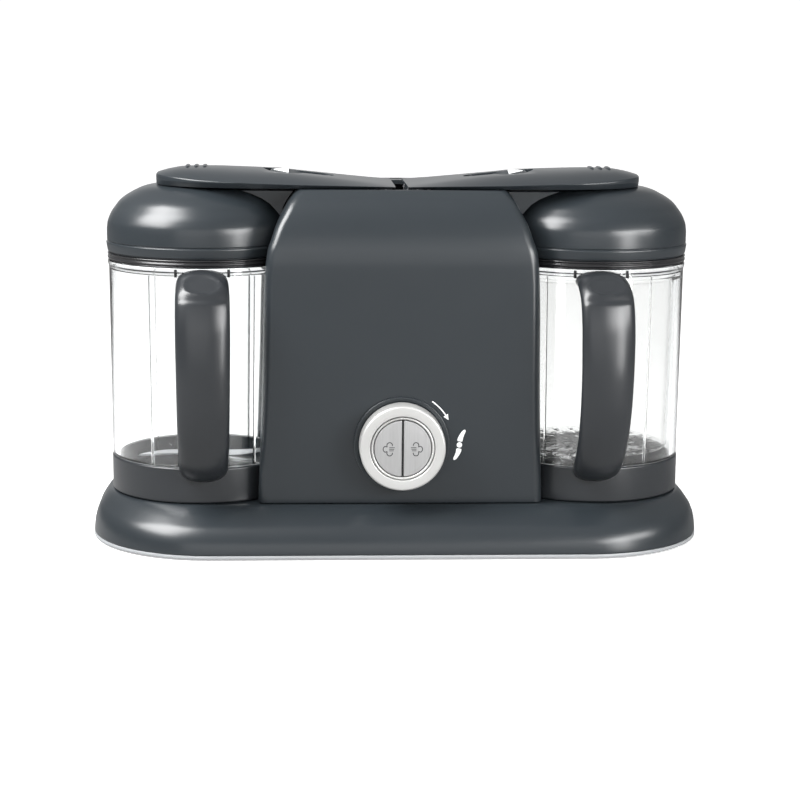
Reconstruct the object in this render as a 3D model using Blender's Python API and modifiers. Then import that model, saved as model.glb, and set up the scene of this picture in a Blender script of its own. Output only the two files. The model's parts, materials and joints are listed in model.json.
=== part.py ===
"""Twin-jug baby food maker: a steam cooker and blender with two clear jugs either side of a central tower.

Sizes are in millimetres and helpers turn them into metres. X runs along the machine, -Y is the front, Z is up,
and the origin is the centre of the bounding box's bottom face.
"""

import math

import bmesh
import bpy
from mathutils import Matrix, Vector

MM = 0.001
GAP = 0.3              # air left between pieces that touch
SIDES = {"left": -1, "right": 1}

# ---- driving dimensions --------------------------------------------------------------------------------------
JUG_X, JUG_Y = 128.0, -6.5          # axis of a jug; also the drive coupler and the lid
BASE_TOP = 30.0
BASE_HALF, BASE_FLARE_X = 188.3, 11.7
BASE_FRONT, BASE_FLARE_FRONT = -69.5, 25.0
BASE_BACK, BASE_FLARE_BACK = 86.0, 11.0
BASE_WALL = 3.0
COLLAR_R = 59.8
VESSEL_R = 60.5
LID_R = 61.3
POCKET_R = 62.5                     # the tower is hollowed round each jug by this radius
TOWER_WALL = 3.0
HINGE_X, HINGE_Z = 10.0, 225.0
ARM_Y, ARM_BOTTOM, ARM_TIP = -8.5, 230.0, 157.0
DIAL_Z = 70.0
MOTOR_Y = 25.0
PULLEY_MOTOR_R, PULLEY_JUG_R = 10.0, 22.0
BOILER_X = 40.0
ROUND = 20                          # facets round a large turned piece
SMALL = 16                          # facets round a small one

# ---- scene, collections, materials ---------------------------------------------------------------------------
for old in list(bpy.data.objects):
    bpy.data.objects.remove(old)
parts = bpy.data.collections.new("baby_food_maker")
cutters = bpy.data.collections.new("cutters")
for made in (parts, cutters):
    bpy.context.scene.collection.children.link(made)


def material(name, colour, roughness, metallic=0.0, alpha=1.0):
    made = bpy.data.materials.new(name)
    made.use_nodes = True
    shader = made.node_tree.nodes["Principled BSDF"]
    shader.inputs["Base Color"].default_value = (*colour, 1.0)
    shader.inputs["Roughness"].default_value = roughness
    shader.inputs["Metallic"].default_value = metallic
    shader.inputs["Alpha"].default_value = alpha
    return made


CHARCOAL = material("charcoal_plastic", (0.062, 0.072, 0.080), 0.42)
GREY = material("grey_plastic", (0.085, 0.087, 0.095), 0.45)
CLEAR = material("clear_plastic", (0.93, 0.95, 0.96), 0.05, alpha=0.25)
SMOKE = material("smoke_plastic", (0.45, 0.44, 0.44), 0.1, alpha=0.4)
CHROME = material("bright_chrome", (0.86, 0.85, 0.83), 0.18, 1.0)
SATIN = material("satin_metal", (0.66, 0.66, 0.66), 0.34, 1.0)
STEEL = material("steel", (0.62, 0.63, 0.65), 0.25, 1.0)
SEAL = material("black_seal", (0.02, 0.02, 0.022), 0.3)
RUBBER = material("rubber", (0.03, 0.03, 0.03), 0.8)
BOARD = material("circuit_board", (0.04, 0.22, 0.12), 0.5)
INNER = material("inner_plastic", (0.16, 0.16, 0.17), 0.6)


# ---- modelling helpers ---------------------------------------------------------------------------------------
def link(name, mesh, paint, at=(0, 0, 0)):
    obj = bpy.data.objects.new(name, mesh)
    obj.location = Vector(at) * MM
    parts.objects.link(obj)
    if paint:
        mesh.materials.append(paint)
    return obj


def from_bmesh(name, bm, paint, at=(0, 0, 0)):
    mesh = bpy.data.meshes.new(name)
    bmesh.ops.recalc_face_normals(bm, faces=bm.faces)
    bm.to_mesh(mesh)
    bm.free()
    return link(name, mesh, paint, at)


def as_cutter(obj):
    parts.objects.unlink(obj)
    cutters.objects.link(obj)
    obj.hide_render = True
    obj.display_type = "WIRE"
    return obj


def combine(obj, other, operation="DIFFERENCE"):
    """Cuts other out of obj, or joins it on, with a Boolean modifier."""
    if other.name in parts.objects:
        as_cutter(other)
    modifier = obj.modifiers.new(operation.lower(), "BOOLEAN")
    modifier.operation = operation
    modifier.solver = "EXACT"
    modifier.object = other
    return obj


def box(name, low, high, paint=None):
    bm = bmesh.new()
    bmesh.ops.create_cube(bm, size=1.0)
    low, high = Vector(low) * MM, Vector(high) * MM
    for vert in bm.verts:
        vert.co = Vector(low[k] + (vert.co[k] + 0.5) * (high[k] - low[k]) for k in range(3))
    return from_bmesh(name, bm, paint)


def boxes(name, corners, paint=None):
    """Several boxes that stay separate bodies in one object."""
    bm = bmesh.new()
    for low, high in corners:
        made = bmesh.ops.create_cube(bm, size=1.0)["verts"]
        low, high = Vector(low) * MM, Vector(high) * MM
        for vert in made:
            vert.co = Vector(low[k] + (vert.co[k] + 0.5) * (high[k] - low[k]) for k in range(3))
    return from_bmesh(name, bm, paint)


def rods(name, rows, paint=None, facets=SMALL):
    """Round rods as separate bodies: each row is (radius, start point, end point)."""
    bm = bmesh.new()
    for radius, start, end in rows:
        start, end = Vector(start) * MM, Vector(end) * MM
        turn = (end - start).to_track_quat("Z", "Y").to_matrix().to_4x4()
        place = Matrix.Translation((start + end) / 2) @ turn
        bmesh.ops.create_cone(
            bm, cap_ends=True, segments=facets, radius1=radius * MM, radius2=radius * MM,
            depth=(end - start).length, matrix=place,
        )
    return from_bmesh(name, bm, paint)


def rod(name, radius, start, end, paint=None, facets=SMALL):
    return rods(name, [(radius, start, end)], paint, facets)


def turned(name, profile, at, paint=None, facets=ROUND, ring=False, along_y=False):
    """A turned piece: profile is (radius, height) down the outer side. A ring's profile closes on itself.
    along_y turns the piece's axis to point at the front, so height is then measured from Y 0 towards -Y."""
    mesh = bpy.data.meshes.new(name)
    edges = [(i, i + 1) for i in range(len(profile) - 1)]
    if ring:
        edges.append((len(profile) - 1, 0))
    mesh.from_pydata([(r * MM, 0.0, h * MM) for r, h in profile], edges, [])
    obj = link(name, mesh, paint, at)
    if along_y:
        obj.rotation_euler = (math.pi / 2, 0.0, 0.0)
    screw = obj.modifiers.new("turn", "SCREW")
    screw.axis = "Z"
    screw.angle = 2 * math.pi
    screw.steps = screw.render_steps = facets
    screw.use_merge_vertices = True
    screw.merge_threshold = 0.00001
    return obj


def loft(name, rings, paint=None, at=(0, 0, 0)):
    """A closed solid through rings of the same number of points, in millimetres."""
    bm = bmesh.new()
    rows = [[bm.verts.new(Vector(point) * MM) for point in ring] for ring in rings]
    count = len(rings[0])
    for low, high in zip(rows, rows[1:]):
        for i in range(count):
            j = (i + 1) % count
            bm.faces.new((low[i], low[j], high[j], high[i]))
    bm.faces.new(rows[0])
    bm.faces.new(rows[-1])
    bmesh.ops.connect_verts_nonplanar(bm, angle_limit=0.001, faces=bm.faces)
    return from_bmesh(name, bm, paint, at)


def plate(name, outlines, z_low, z_high, paint=None):
    """A flat plate: the first outline is its edge and the others are holes, each a list of (x, y)."""
    curve = bpy.data.curves.new(name, "CURVE")
    curve.dimensions = "2D"
    curve.fill_mode = "BOTH"
    curve.extrude = (z_high - z_low) / 2 * MM
    for outline in outlines:
        spline = curve.splines.new("POLY")
        spline.points.add(len(outline) - 1)
        spline.use_cyclic_u = True
        for point, (x, y) in zip(spline.points, outline):
            point.co = (x * MM, y * MM, 0.0, 1.0)
    drawn = bpy.data.objects.new(name + "_drawn", curve)
    drawn.location.z = (z_low + z_high) / 2 * MM
    bpy.context.scene.collection.objects.link(drawn)
    bpy.context.view_layer.update()
    graph = bpy.context.evaluated_depsgraph_get()
    mesh = bpy.data.meshes.new_from_object(drawn.evaluated_get(graph))
    mesh.transform(drawn.matrix_world)
    bpy.data.objects.remove(drawn)
    bm = bmesh.new()
    bm.from_mesh(mesh)
    bmesh.ops.remove_doubles(bm, verts=bm.verts, dist=1e-6)
    mesh.materials.clear()
    return from_bmesh(name, bm, paint)


def join(first, second):
    return combine(first, second, "UNION")


# ---- outlines and formulas -----------------------------------------------------------------------------------
def circle(x, y, radius, count, start=0.0):
    turns = [start + 2 * math.pi * i / count for i in range(count)]
    return [(x + radius * math.cos(t), y + radius * math.sin(t)) for t in turns]


def rounded(half, front, back, r_front, r_back, steps):
    """A rounded rectangle about X 0, as (x, y), with its own radius at the front and at the back."""
    corners = [
        (half - r_front, front + r_front, r_front, -90),
        (half - r_back, back - r_back, r_back, 0),
        (-half + r_back, back - r_back, r_back, 90),
        (-half + r_front, front + r_front, r_front, 180),
    ]
    found = []
    for x, y, radius, first in corners:
        for i in range(steps + 1):
            turn = math.radians(first + 90 * i / steps)
            found.append((x + radius * math.cos(turn), y + radius * math.sin(turn)))
    return found


def between(table, at):
    """Straight-line value of a table of (place, value) pairs, or of (place, value, value...) rows."""
    if at <= table[0][0]:
        return table[0][1:]
    for low, high in zip(table, table[1:]):
        if at <= high[0]:
            share = (at - low[0]) / (high[0] - low[0])
            return tuple(a + (b - a) * share for a, b in zip(low[1:], high[1:]))
    return table[-1][1:]


# ---- plinth --------------------------------------------------------------------------------------------------
# (height, share of the full flare) down the plinth's side, with an undercut at its foot
PLINTH = [
    (1.0, 0.80), (4.2, 1.0), (8.0, 0.98), (14.0, 0.875), (19.0, 0.71), (23.0, 0.49), (27.5, 0.22), (30.0, 0.0),
]


def plinth_ring(height, share, inset=0.0, steps=5):
    half = BASE_HALF + BASE_FLARE_X * share - inset
    front = BASE_FRONT - BASE_FLARE_FRONT * share + inset
    back = BASE_BACK + BASE_FLARE_BACK * share - inset
    outline = rounded(half, front, back, 62 + 18 * share - inset, 70 + 15 * share - inset, steps)
    return [(x, y, height) for x, y in outline]


def make_plinth():
    shell = loft("base_shell", [plinth_ring(z, t) for z, t in PLINTH], CHARCOAL)
    hollow = [plinth_ring(-2.0, 0.80, BASE_WALL)]
    hollow += [plinth_ring(z, t, BASE_WALL) for z, t in PLINTH[:-1] if z < 27]
    hollow.append(plinth_ring(BASE_TOP - BASE_WALL, between(PLINTH, 27.0)[0], BASE_WALL + 1.5))
    combine(shell, loft("plinth_hollow", hollow))
    wells = [(8.0, (s * JUG_X, JUG_Y, 20), (s * JUG_X, JUG_Y, 40)) for s in SIDES.values()]
    wells.append((7.0, (0, MOTOR_Y, 20), (0, MOTOR_Y, 40)))
    combine(shell, rods("shaft_wells", wells))
    seats = [(57.6, (s * JUG_X, JUG_Y, 28.3), (s * JUG_X, JUG_Y, 40)) for s in SIDES.values()]
    combine(shell, rods("jug_seats", seats, facets=ROUND))
    combine(shell, rod("gland_hole", 6.9, (70, 80, 13), (70, 120, 13)))

    edge = [(x, y) for x, y, _ in plinth_ring(0, 0.80, BASE_WALL + 0.4)]
    plate("base_pan", [edge], 1.2, 3.2, INNER)
    for place, (x, y) in FOOT_PLACES.items():
        rod(f"rubber_foot_{place}", 9.0, (x, y, 0.0), (x, y, 0.9), RUBBER, 12)


FOOT_PLACES = {
    "front_left": (-140, -64), "front_right": (140, -64), "back_left": (-140, 60), "back_right": (140, 60),
}

# ---- tower ---------------------------------------------------------------------------------------------------
# (height, half width, front, back)
TOWER = [
    (30.4, 91.2, -66.5, 84.0), (100.0, 88.5, -70.5, 84.0), (165.0, 87.0, -72.5, 83.0),
    (183.0, 86.0, -72.8, 82.0), (192.0, 84.7, -72.3, 81.0), (200.0, 82.0, -71.0, 79.5),
    (208.0, 79.2, -68.8, 77.0), (216.0, 75.2, -65.5, 73.0), (223.0, 71.3, -61.0, 67.5),
    (229.7, 66.3, -53.8, 57.0),
]
PANEL_SPLIT = -45.0


def tower_ring(row, inset=0.0, z=None, steps=3):
    height, half, front, back = row
    outline = rounded(half - inset, front + inset, back - inset, 6 - inset * 0.8, 24 - inset, steps)
    return [(x, y, height if z is None else z) for x, y in outline]


def pockets(name, radius):
    """The two round spaces that the jugs stand in."""
    rows = [(radius, (s * JUG_X, JUG_Y, 20), (s * JUG_X, JUG_Y, 245)) for s in SIDES.values()]
    return rods(name, rows, facets=36)


def tower_hollow(name):
    rings = [tower_ring(TOWER[0], TOWER_WALL, z=20.0)]
    rings += [tower_ring(row, TOWER_WALL) for row in TOWER]
    rings.append(tower_ring(TOWER[-1], TOWER_WALL, z=240.0))
    return combine(loft(name, rings), as_cutter(pockets(name + "_sides", POCKET_R + TOWER_WALL)))


def make_tower():
    jug_room = as_cutter(pockets("jug_room", POCKET_R))
    hollow = as_cutter(tower_hollow("tower_hollow"))
    for name, keep_front in (("front_panel", True), ("rear_cover", False)):
        shell = loft(name, [tower_ring(row) for row in TOWER], CHARCOAL)
        combine(shell, jug_room)
        combine(shell, hollow)
        if keep_front:
            combine(shell, box("behind_panel", (-120, PANEL_SPLIT - GAP / 2, 0), (120, 200, 300)))
            combine(shell, rod("dial_hole", 28.7, (0, -90, DIAL_Z), (0, -40, DIAL_Z), facets=ROUND))
            posts = [(2.6, (x, -67, z), (x, -47.9, z)) for x in (-33, 33) for z in (49, 93)]
            join(shell, rods("panel_posts", posts, facets=8))
        else:
            combine(shell, box("before_cover", (-120, -200, 0), (120, PANEL_SPLIT + GAP / 2, 300)))
            slots = [((x - 2, 70, 60), (x + 2, 100, 110)) for x in (-32, -16, 0, 16, 32)]
            combine(shell, boxes("vent_slots", slots))

    rim = tower_ring(TOWER[-1], TOWER_WALL + 0.5)
    deck = loft("top_deck", [[(x, y, z) for x, y, _ in rim] for z in (226.6, 229.4)], CHARCOAL)
    combine(deck, as_cutter(pockets("deck_sides", POCKET_R + TOWER_WALL + 0.5)))
    mouths = [(19.4, (s * BOILER_X, ARM_Y, 220), (s * BOILER_X, ARM_Y, 235)) for s in SIDES.values()]
    combine(deck, rods("boiler_mouths", mouths, facets=ROUND))
    combine(deck, box("hinge_trough", (-21.6, -52.6, 220), (21.6, 39, 235)))
    hooks = [((s * 60.5 - 8, -39.5, 220), (s * 60.5 + 8, -29, 235)) for s in SIDES.values()]
    combine(deck, boxes("hook_slots", hooks))


def make_hinge_block():
    """A tray between the boilers, from the front panel to the rear cover, with lugs for the two hinge pins."""
    block = box("hinge_block", (-20, -62.9, 208), (20, 70.7, 213.7), INNER)
    uprights, eyes = [], []
    for s in SIDES.values():
        for y in LUG_PLACES:
            uprights.append(((s * HINGE_X - 3.9, y, 213), (s * HINGE_X + 3.9, y + 4, HINGE_Z + 0.6)))
            eyes.append((4.6, (s * HINGE_X, y - 0.2, HINGE_Z), (s * HINGE_X, y + 4.2, HINGE_Z)))
    join(block, boxes("lug_uprights", uprights))
    join(block, rods("lug_eyes", eyes, facets=12))
    bores = [(2.3, (s * HINGE_X, -60, HINGE_Z), (s * HINGE_X, 50, HINGE_Z)) for s in SIDES.values()]
    combine(block, rods("lug_bores", bores, facets=8))
    for name, s in SIDES.items():
        rod(f"hinge_pin_{name}", 2.0, (s * HINGE_X, -51, HINGE_Z), (s * HINGE_X, 36, HINGE_Z), STEEL, 8)


LUG_PLACES = (-50.5, -10.5, 31.5)       # front face of each lug, 4 deep


# ---- arms ----------------------------------------------------------------------------------------------------
# (distance from the middle, height): the arm's crest, its front edge and the ramp that flattens its inner half
CREST = [
    (4, 232.4), (39, 235.6), (64, 238.3), (77, 239.5), (103, 241.3), (124, 242.5), (138, 241.6), (148, 239.4),
    (157, 236.2),
]
EDGE = [(4, 231.3), (90, 232.8), (157, 235.6)]
RAMP = [(4, 231.5), (20, 232.2), (39, 233.9), (50, 235.0), (64, 237.0), (71, 238.3), (77, 250.0)]
SLOT = (42.0, 88.0, 9.0)                # inner end, outer end and half width of the latch's slot


def arm_half_width(u):
    """Half the arm's depth at a distance u from the middle: a tongue with a superellipse end."""
    if u <= 71:
        return 40 + 5 * (u - 4) / 67
    share = max(0.0, (u - 90) / (ARM_TIP - 90))
    return max(6.0, 45 * (1 - share ** 2.2) ** (1 / 2.2))


def arm_height(u, across):
    """Height of the arm's top. across runs from -1 at its front edge to 1 at its back edge."""
    edge, crest = between(EDGE, u)[0], between(CREST, u)[0]
    crown = edge + (crest - edge) * (1 - abs(across) ** 2.2)
    return min(crown, between(RAMP, u)[0])


def arm_section(side, u, sink=0.0, inset=0.0, bottom=ARM_BOTTOM, steps=6):
    half = arm_half_width(u) - inset
    shares = [-math.cos(math.pi * i / steps) for i in range(steps + 1)]
    top = [(side * u, ARM_Y + half * t, max(arm_height(u, t) - sink, bottom + 0.4)) for t in shares]
    return top + [(side * u, ARM_Y + half, bottom), (side * u, ARM_Y - half, bottom)]


def make_arm(name, side):
    places = [4, 20, 39, 64, 71, 77, 90, 103, 114, 124, 133, 141, 148, 153, 157]
    arm = loft(f"arm_{name}", [arm_section(side, u) for u in places], CHARCOAL)
    hollow = [50.5, 65.5, 78.5, 91.5, 104.5, 115, 125, 134, 142, 149]
    rings = [arm_section(side, u, sink=2.2, inset=2.6, bottom=ARM_BOTTOM - 2) for u in hollow]
    combine(arm, loft(f"arm_hollow_{name}", rings))
    combine(arm, plate(f"arm_slot_{name}", [stadium(side, *SLOT)], 225, 250))
    x = side * HINGE_X
    webs = [((x - 4, y, HINGE_Z), (x + 4, y + 32, ARM_BOTTOM + 0.8)) for y in KNUCKLE_PLACES]
    knuckles = [(4.3, (x, y, HINGE_Z), (x, y + 32, HINGE_Z)) for y in KNUCKLE_PLACES]
    join(arm, boxes(f"knuckle_webs_{name}", webs))
    join(arm, rods(f"knuckles_{name}", knuckles, facets=12))
    combine(arm, rod(f"knuckle_bore_{name}", 2.3, (x, -60, HINGE_Z), (x, 50, HINGE_Z), facets=8))
    return arm


KNUCKLE_PLACES = (-44.5, -4.5)          # front face of each knuckle, 32 long


def stadium(side, inner, outer, half, steps=8):
    """A slot along X with round ends, as (x, y)."""
    found = []
    for centre, first in ((outer - half, -90), (inner + half, 90)):
        for i in range(steps + 1):
            turn = math.radians(first + 180 * i / steps)
            found.append((side * (centre + half * math.cos(turn)), ARM_Y + half * math.sin(turn)))
    return found


def make_arm_duct(name, side):
    """The steam duct under the outer half of an arm, hollowed to sit over its lid."""
    hollow = [71.5, 90, 103, 114, 124, 132, 139, 145, 148.5]
    outline = [(side * u, ARM_Y - arm_half_width(u) + 9.0) for u in hollow]
    outline += [(side * u, ARM_Y + arm_half_width(u) - 9.0) for u in reversed(hollow)]
    duct = plate(f"arm_duct_{name}", [outline], 230.4, 231.9, CHARCOAL)
    low, high = sorted((side * 76.0, side * 108.0))
    join(duct, box(f"duct_neck_{name}", (low, -35, 226), (high, 18, 231)))
    low, high = sorted((side * 75.0, side * 109.0))
    join(duct, box(f"duct_box_{name}", (low, -38.5, 207), (high, 21.5, 227.5)))
    combine(duct, plate(f"duct_slot_{name}", [stadium(side, *SLOT)], 230.2, 240))
    clear = [(r + 1.8, z + 0.6) for r, z in LID_OUTSIDE]
    clear = [(0.0, clear[0][1])] + clear + [(LID_R + 1.8, 180.0), (0.0, 180.0)]
    combine(duct, turned(f"lid_room_{name}", clear, (side * JUG_X, JUG_Y, 0)))


def make_latch(name, side):
    """The thumb slide in the arm's slot, with the cross bar and peg that it carries."""
    inner, outer, half = SLOT[0] + 0.6, SLOT[1] - 4.6, SLOT[2] - 0.6
    rings = []
    for u in (inner, inner + 2.5, inner + 6, 56, 64, 72, outer - 6, outer - 2.5, outer):
        reach = min(u - inner, outer - u, half)
        wide = max(1.0, math.sqrt(half ** 2 - (half - reach) ** 2))
        top = between(RAMP, min(u, 71))[0] - 1.4
        rings.append([
            (side * u, ARM_Y - wide, 231.0), (side * u, ARM_Y - wide, top + 0.5), (side * u, ARM_Y - wide / 2, top),
            (side * u, ARM_Y + wide / 2, top), (side * u, ARM_Y + wide, top + 0.5), (side * u, ARM_Y + wide, 231.0),
        ])
    latch = loft(f"latch_{name}", rings, CHARCOAL)
    low, high = sorted((side * 55.0, side * 61.0))
    join(latch, box(f"latch_bar_{name}", (low, -37.5, 230.8), (high, -6, 232.2)))
    low, high = sorted((side * 55.4, side * 58.9))
    join(latch, box(f"latch_peg_{name}", (low, -37.0, 217), (high, -31.5, 231.5)))


# ---- boilers, with the arm's seals ---------------------------------------------------------------------------
def make_boiler(name, side):
    at = (side * BOILER_X, ARM_Y, 0)
    cup = [
        (0.0, 166.0), (15.2, 166.0), (17.6, 168.5), (17.6, 226.2), (21.8, 226.2), (21.8, 224.8), (19.0, 224.8),
        (19.0, 168.0), (16.0, 164.5), (0.0, 164.5),
    ]
    turned(f"boiler_{name}", cup, at, STEEL, 20)
    seal = [(0.0, 229.7), (18.8, 229.7), (18.8, 226.6), (16.3, 226.6), (15.8, 221.5), (0.0, 221.5)]
    turned(f"boiler_seal_{name}", seal, at, SEAL, 20)
    x = side * BOILER_X
    rod(f"boiler_heater_{name}", 17.0, (x, ARM_Y, 158), (x, ARM_Y, 164.1), SATIN, 20)


# ---- drive train ---------------------------------------------------------------------------------------------
BELT_LEVELS = {"left": (8.0, 13.5), "right": (15.5, 21.0)}
BELT_INNER, BELT_OUTER, BELT_STEPS = 0.8, 2.0, 12     # the belt's faces, away from the pulleys' rims


def belt_loop(side, spread):
    """The outline round the motor's pulley and a jug's pulley, spread away from their rims, as (x, y)."""
    small, large = PULLEY_MOTOR_R + spread, PULLEY_JUG_R + spread
    across = Vector((side * JUG_X, JUG_Y - MOTOR_Y))
    heading = math.atan2(across.y, across.x)
    lean = math.acos((small - large) / across.length)
    found = []
    for centre, radius, first, last in (
        ((side * JUG_X, JUG_Y), large, -lean, lean),
        ((0.0, MOTOR_Y), small, lean, 2 * math.pi - lean),
    ):
        for i in range(BELT_STEPS + 1):
            turn = heading + first + (last - first) * i / BELT_STEPS
            found.append((centre[0] + radius * math.cos(turn), centre[1] + radius * math.sin(turn)))
    return found


def star(outer, inner, teeth=6):
    found = []
    for i in range(teeth * 4):
        radius = outer if i % 4 in (0, 1) else inner
        turn = 2 * math.pi * (i + 0.5) / (teeth * 4)
        found.append((radius * math.cos(turn), radius * math.sin(turn)))
    return found


def star_bar(name, outer, inner, x, low, high):
    return plate(name, [[(x + px, JUG_Y + py) for px, py in star(outer, inner)]], low, high)


def make_motor():
    at = (0, MOTOR_Y, 0)
    can = [(0, 140), (26, 140), (30, 137), (30, 69), (27, 66.3), (0, 66.3)]
    turned("motor_can", can, at, STEEL, facets=24)
    edge = [(x, y + MOTOR_Y) for x, y in rounded(42, -34, 34, 8, 8, 2)]
    bracket = plate("motor_bracket", [edge, circle(0, MOTOR_Y, 8, 16)], 60, 63, INNER)
    legs = [((x - 3, MOTOR_Y + y - 3, 30.3), (x + 3, MOTOR_Y + y + 3, 61)) for x in (-37, 37) for y in (-28, 28)]
    join(bracket, boxes("bracket_legs", legs))
    rod("motor_shaft", 3.0, (0, MOTOR_Y, 4.5), (0, MOTOR_Y, 66.0), STEEL)
    pulley = [
        (11.2, 22.5), (11.2, 21.6), (PULLEY_MOTOR_R, 21.4), (PULLEY_MOTOR_R, 7.6), (11.2, 7.4), (11.2, 6.5),
        (3.3, 6.5), (3.3, 22.5),
    ]
    turned("motor_pulley", pulley, at, INNER, 14, ring=True)
    for name, side in SIDES.items():
        loops = [belt_loop(side, BELT_OUTER), belt_loop(side, BELT_INNER)]
        plate(f"drive_belt_{name}", loops, *BELT_LEVELS[name], RUBBER)


def make_coupler(name, side):
    at = (side * JUG_X, JUG_Y, 0)
    low, high = BELT_LEVELS[name]
    wheel = [
        (23.2, high + 0.9), (23.2, high + 0.2), (PULLEY_JUG_R, high), (PULLEY_JUG_R, low), (23.2, low - 0.2),
        (23.2, low - 0.9), (4.3, low - 0.9), (4.3, high + 0.9),
    ]
    turned(f"coupler_pulley_{name}", wheel, at, INNER, 16, ring=True)
    x = side * JUG_X
    coupler = rod(f"drive_coupler_{name}", 4.0, (x, JUG_Y, 4.5), (x, JUG_Y, 33), INNER)
    join(coupler, star_bar(f"coupler_star_{name}", 8.4, 6.3, x, 31.5, 41.0))
    bush = [(7.6, 28.2), (7.6, 23.2), (4.4, 23.2), (4.4, 28.2)]
    turned(f"drive_bush_{name}", bush, at, STEEL, 14, ring=True)


# ---- dial and its buttons ------------------------------------------------------------------------------------
BUTTON_X = 9.0


def half_disc(side, radius, split, steps=12):
    """Half of a disc on the side's hand of the split, as (x, z) from the dial's centre."""
    lean = math.acos(split / radius)
    turns = [-lean + 2 * lean * i / steps for i in range(steps + 1)]
    return [(side * radius * math.cos(t), radius * math.sin(t)) for t in turns]


def make_dial():
    at = (0, 0, DIAL_Z)
    bezel = [(30.4, 71.9), (30.4, 70.9), (28.1, 70.9), (28.1, 62.0), (26.3, 62.0), (26.3, 71.6), (29.8, 72.1)]
    turned("dial_bezel", bezel, at, CHARCOAL, ring=True, along_y=True)
    ring = [
        (21.0, 84.9), (21.6, 86.0), (26.6, 86.3), (27.6, 85.3), (27.9, 72.5), (25.5, 72.5), (25.5, 57.0),
        (21.0, 57.0),
    ]
    turned("dial_ring", ring, at, CHROME, ring=True, along_y=True)
    cup = [
        (0.0, 77.0), (18.9, 77.0), (18.9, 85.3), (19.6, 85.7), (20.5, 85.2), (20.5, 47.9), (17.5, 47.9),
        (17.5, 54.0), (0.0, 54.0),
    ]
    cup_body = turned("button_cup", cup, at, SATIN, along_y=True)
    stems = [(2.6, (s * BUTTON_X, -90, DIAL_Z), (s * BUTTON_X, -50, DIAL_Z)) for s in SIDES.values()]
    combine(cup_body, rods("stem_holes", stems, facets=10))
    for name, side in SIDES.items():
        outline = half_disc(side, 18.4, 0.55)
        rings = [[(x, -d, DIAL_Z + z) for x, z in outline] for d in (79.5, 84.6)]
        inset = half_disc(side, 17.8, 1.1)
        rings.append([(x, -85.2, DIAL_Z + z) for x, z in inset])
        button = loft(f"steam_button_{name}", rings, SATIN)
        stem = rod(f"button_stem_{name}", 2.0, (side * BUTTON_X, -80, DIAL_Z), (side * BUTTON_X, -52.3, DIAL_Z))
        join(button, stem)
    board = box("control_board", (-38, -47.6, 44), (38, -46, 98), BOARD)
    switches = [((s * BUTTON_X - 3, -49.8, DIAL_Z - 3), (s * BUTTON_X + 3, -47, DIAL_Z + 3)) for s in SIDES.values()]
    join(board, boxes("tact_switches", switches))


# ---- jugs ----------------------------------------------------------------------------------------------------
# The handle, from the jug's rim to its collar: (radius, height) of its outer and of its inner line, and its width
HANDLE = [
    ((56.0, 181.0), (56.0, 167.0), 31.0), ((70.0, 181.3), (69.0, 166.5), 32.0), ((80.0, 178.8), (75.5, 163.5), 33.0),
    ((89.5, 171.5), (80.5, 157.5), 33.6), ((95.8, 159.5), (83.4, 148.5), 33.8), ((98.6, 144.0), (84.4, 138.0), 33.8),
    ((99.0, 122.0), (84.4, 122.0), 33.4), ((97.6, 101.0), (83.2, 104.5), 33.0), ((94.0, 82.0), (80.0, 89.0), 32.6),
    ((87.6, 65.5), (75.0, 76.5), 32.0), ((78.5, 53.0), (69.0, 67.5), 31.4), ((69.0, 46.5), (64.5, 62.5), 30.6),
    ((56.0, 43.0), (56.0, 59.0), 29.0),
]
HANDLE_TURN = 2.3                       # degrees that each handle points in from straight ahead
LID_OUTSIDE = [
    (30.0, 229.6), (34.0, 229.0), (39.3, 227.4), (43.5, 225.4), (49.0, 222.2), (52.9, 219.0), (55.5, 215.7),
    (57.8, 212.5), (59.5, 209.2), (60.9, 204.7), (61.3, 199.5), (61.3, 190.6),
]


def handle_ring(outer, inner, width, side, steps=10):
    """A rounded section between two points of the handle's outline, in the jug's frame."""
    outer, inner = Vector(outer), Vector(inner)
    middle, reach = (outer + inner) / 2, (outer - inner) / 2
    heading = math.radians(-90 - side * HANDLE_TURN)
    ahead = Vector((math.cos(heading), math.sin(heading)))
    across = Vector((-ahead.y, ahead.x))
    found = []
    for i in range(steps):
        turn = 2 * math.pi * (i + 0.5) / steps
        c, s = math.cos(turn), math.sin(turn)
        c, s = math.copysign(abs(c) ** 0.7, c), math.copysign(abs(s) ** 0.7, s)
        place = middle + reach * c
        flat = ahead * place.x + across * (width / 2 * s)
        found.append((side * JUG_X + flat.x, JUG_Y + flat.y, place.y))
    return found


def make_jug(name, side):
    at = (side * JUG_X, JUG_Y, 0)
    vessel = [
        (60.9, 181.0), (60.9, 179.0), (VESSEL_R, 178.0), (59.4, 53.6), (57.2, 53.5), (57.2, 37.0), (54.0, 33.5),
        (15.0, 33.5), (15.0, 45.5), (5.5, 46.0), (5.5, 48.5), (16.5, 48.5), (18.5, 36.0),
        (52.0, 36.0), (55.0, 39.0), (57.2, 170.0), (58.5, 171.2), (58.5, 181.0),
    ]
    turned(f"jug_vessel_{name}", vessel, at, CLEAR, ring=True)
    collar = [
        (COLLAR_R - 0.6, 53.2), (COLLAR_R, 52.4), (COLLAR_R, 31.2), (COLLAR_R - 0.8, 30.4), (57.0, 30.4),
        (57.0, 28.7), (50.0, 28.7), (50.0, 31.0), (57.5, 31.2), (57.5, 53.2),
    ]
    turned(f"jug_collar_{name}", collar, at, GREY, ring=True)
    handle = loft(f"jug_handle_{name}", [handle_ring(*row, side) for row in HANDLE], GREY)
    combine(handle, rod(f"handle_seat_{name}", 61.5, (at[0], JUG_Y, 20), (at[0], JUG_Y, 200), facets=36))


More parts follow.
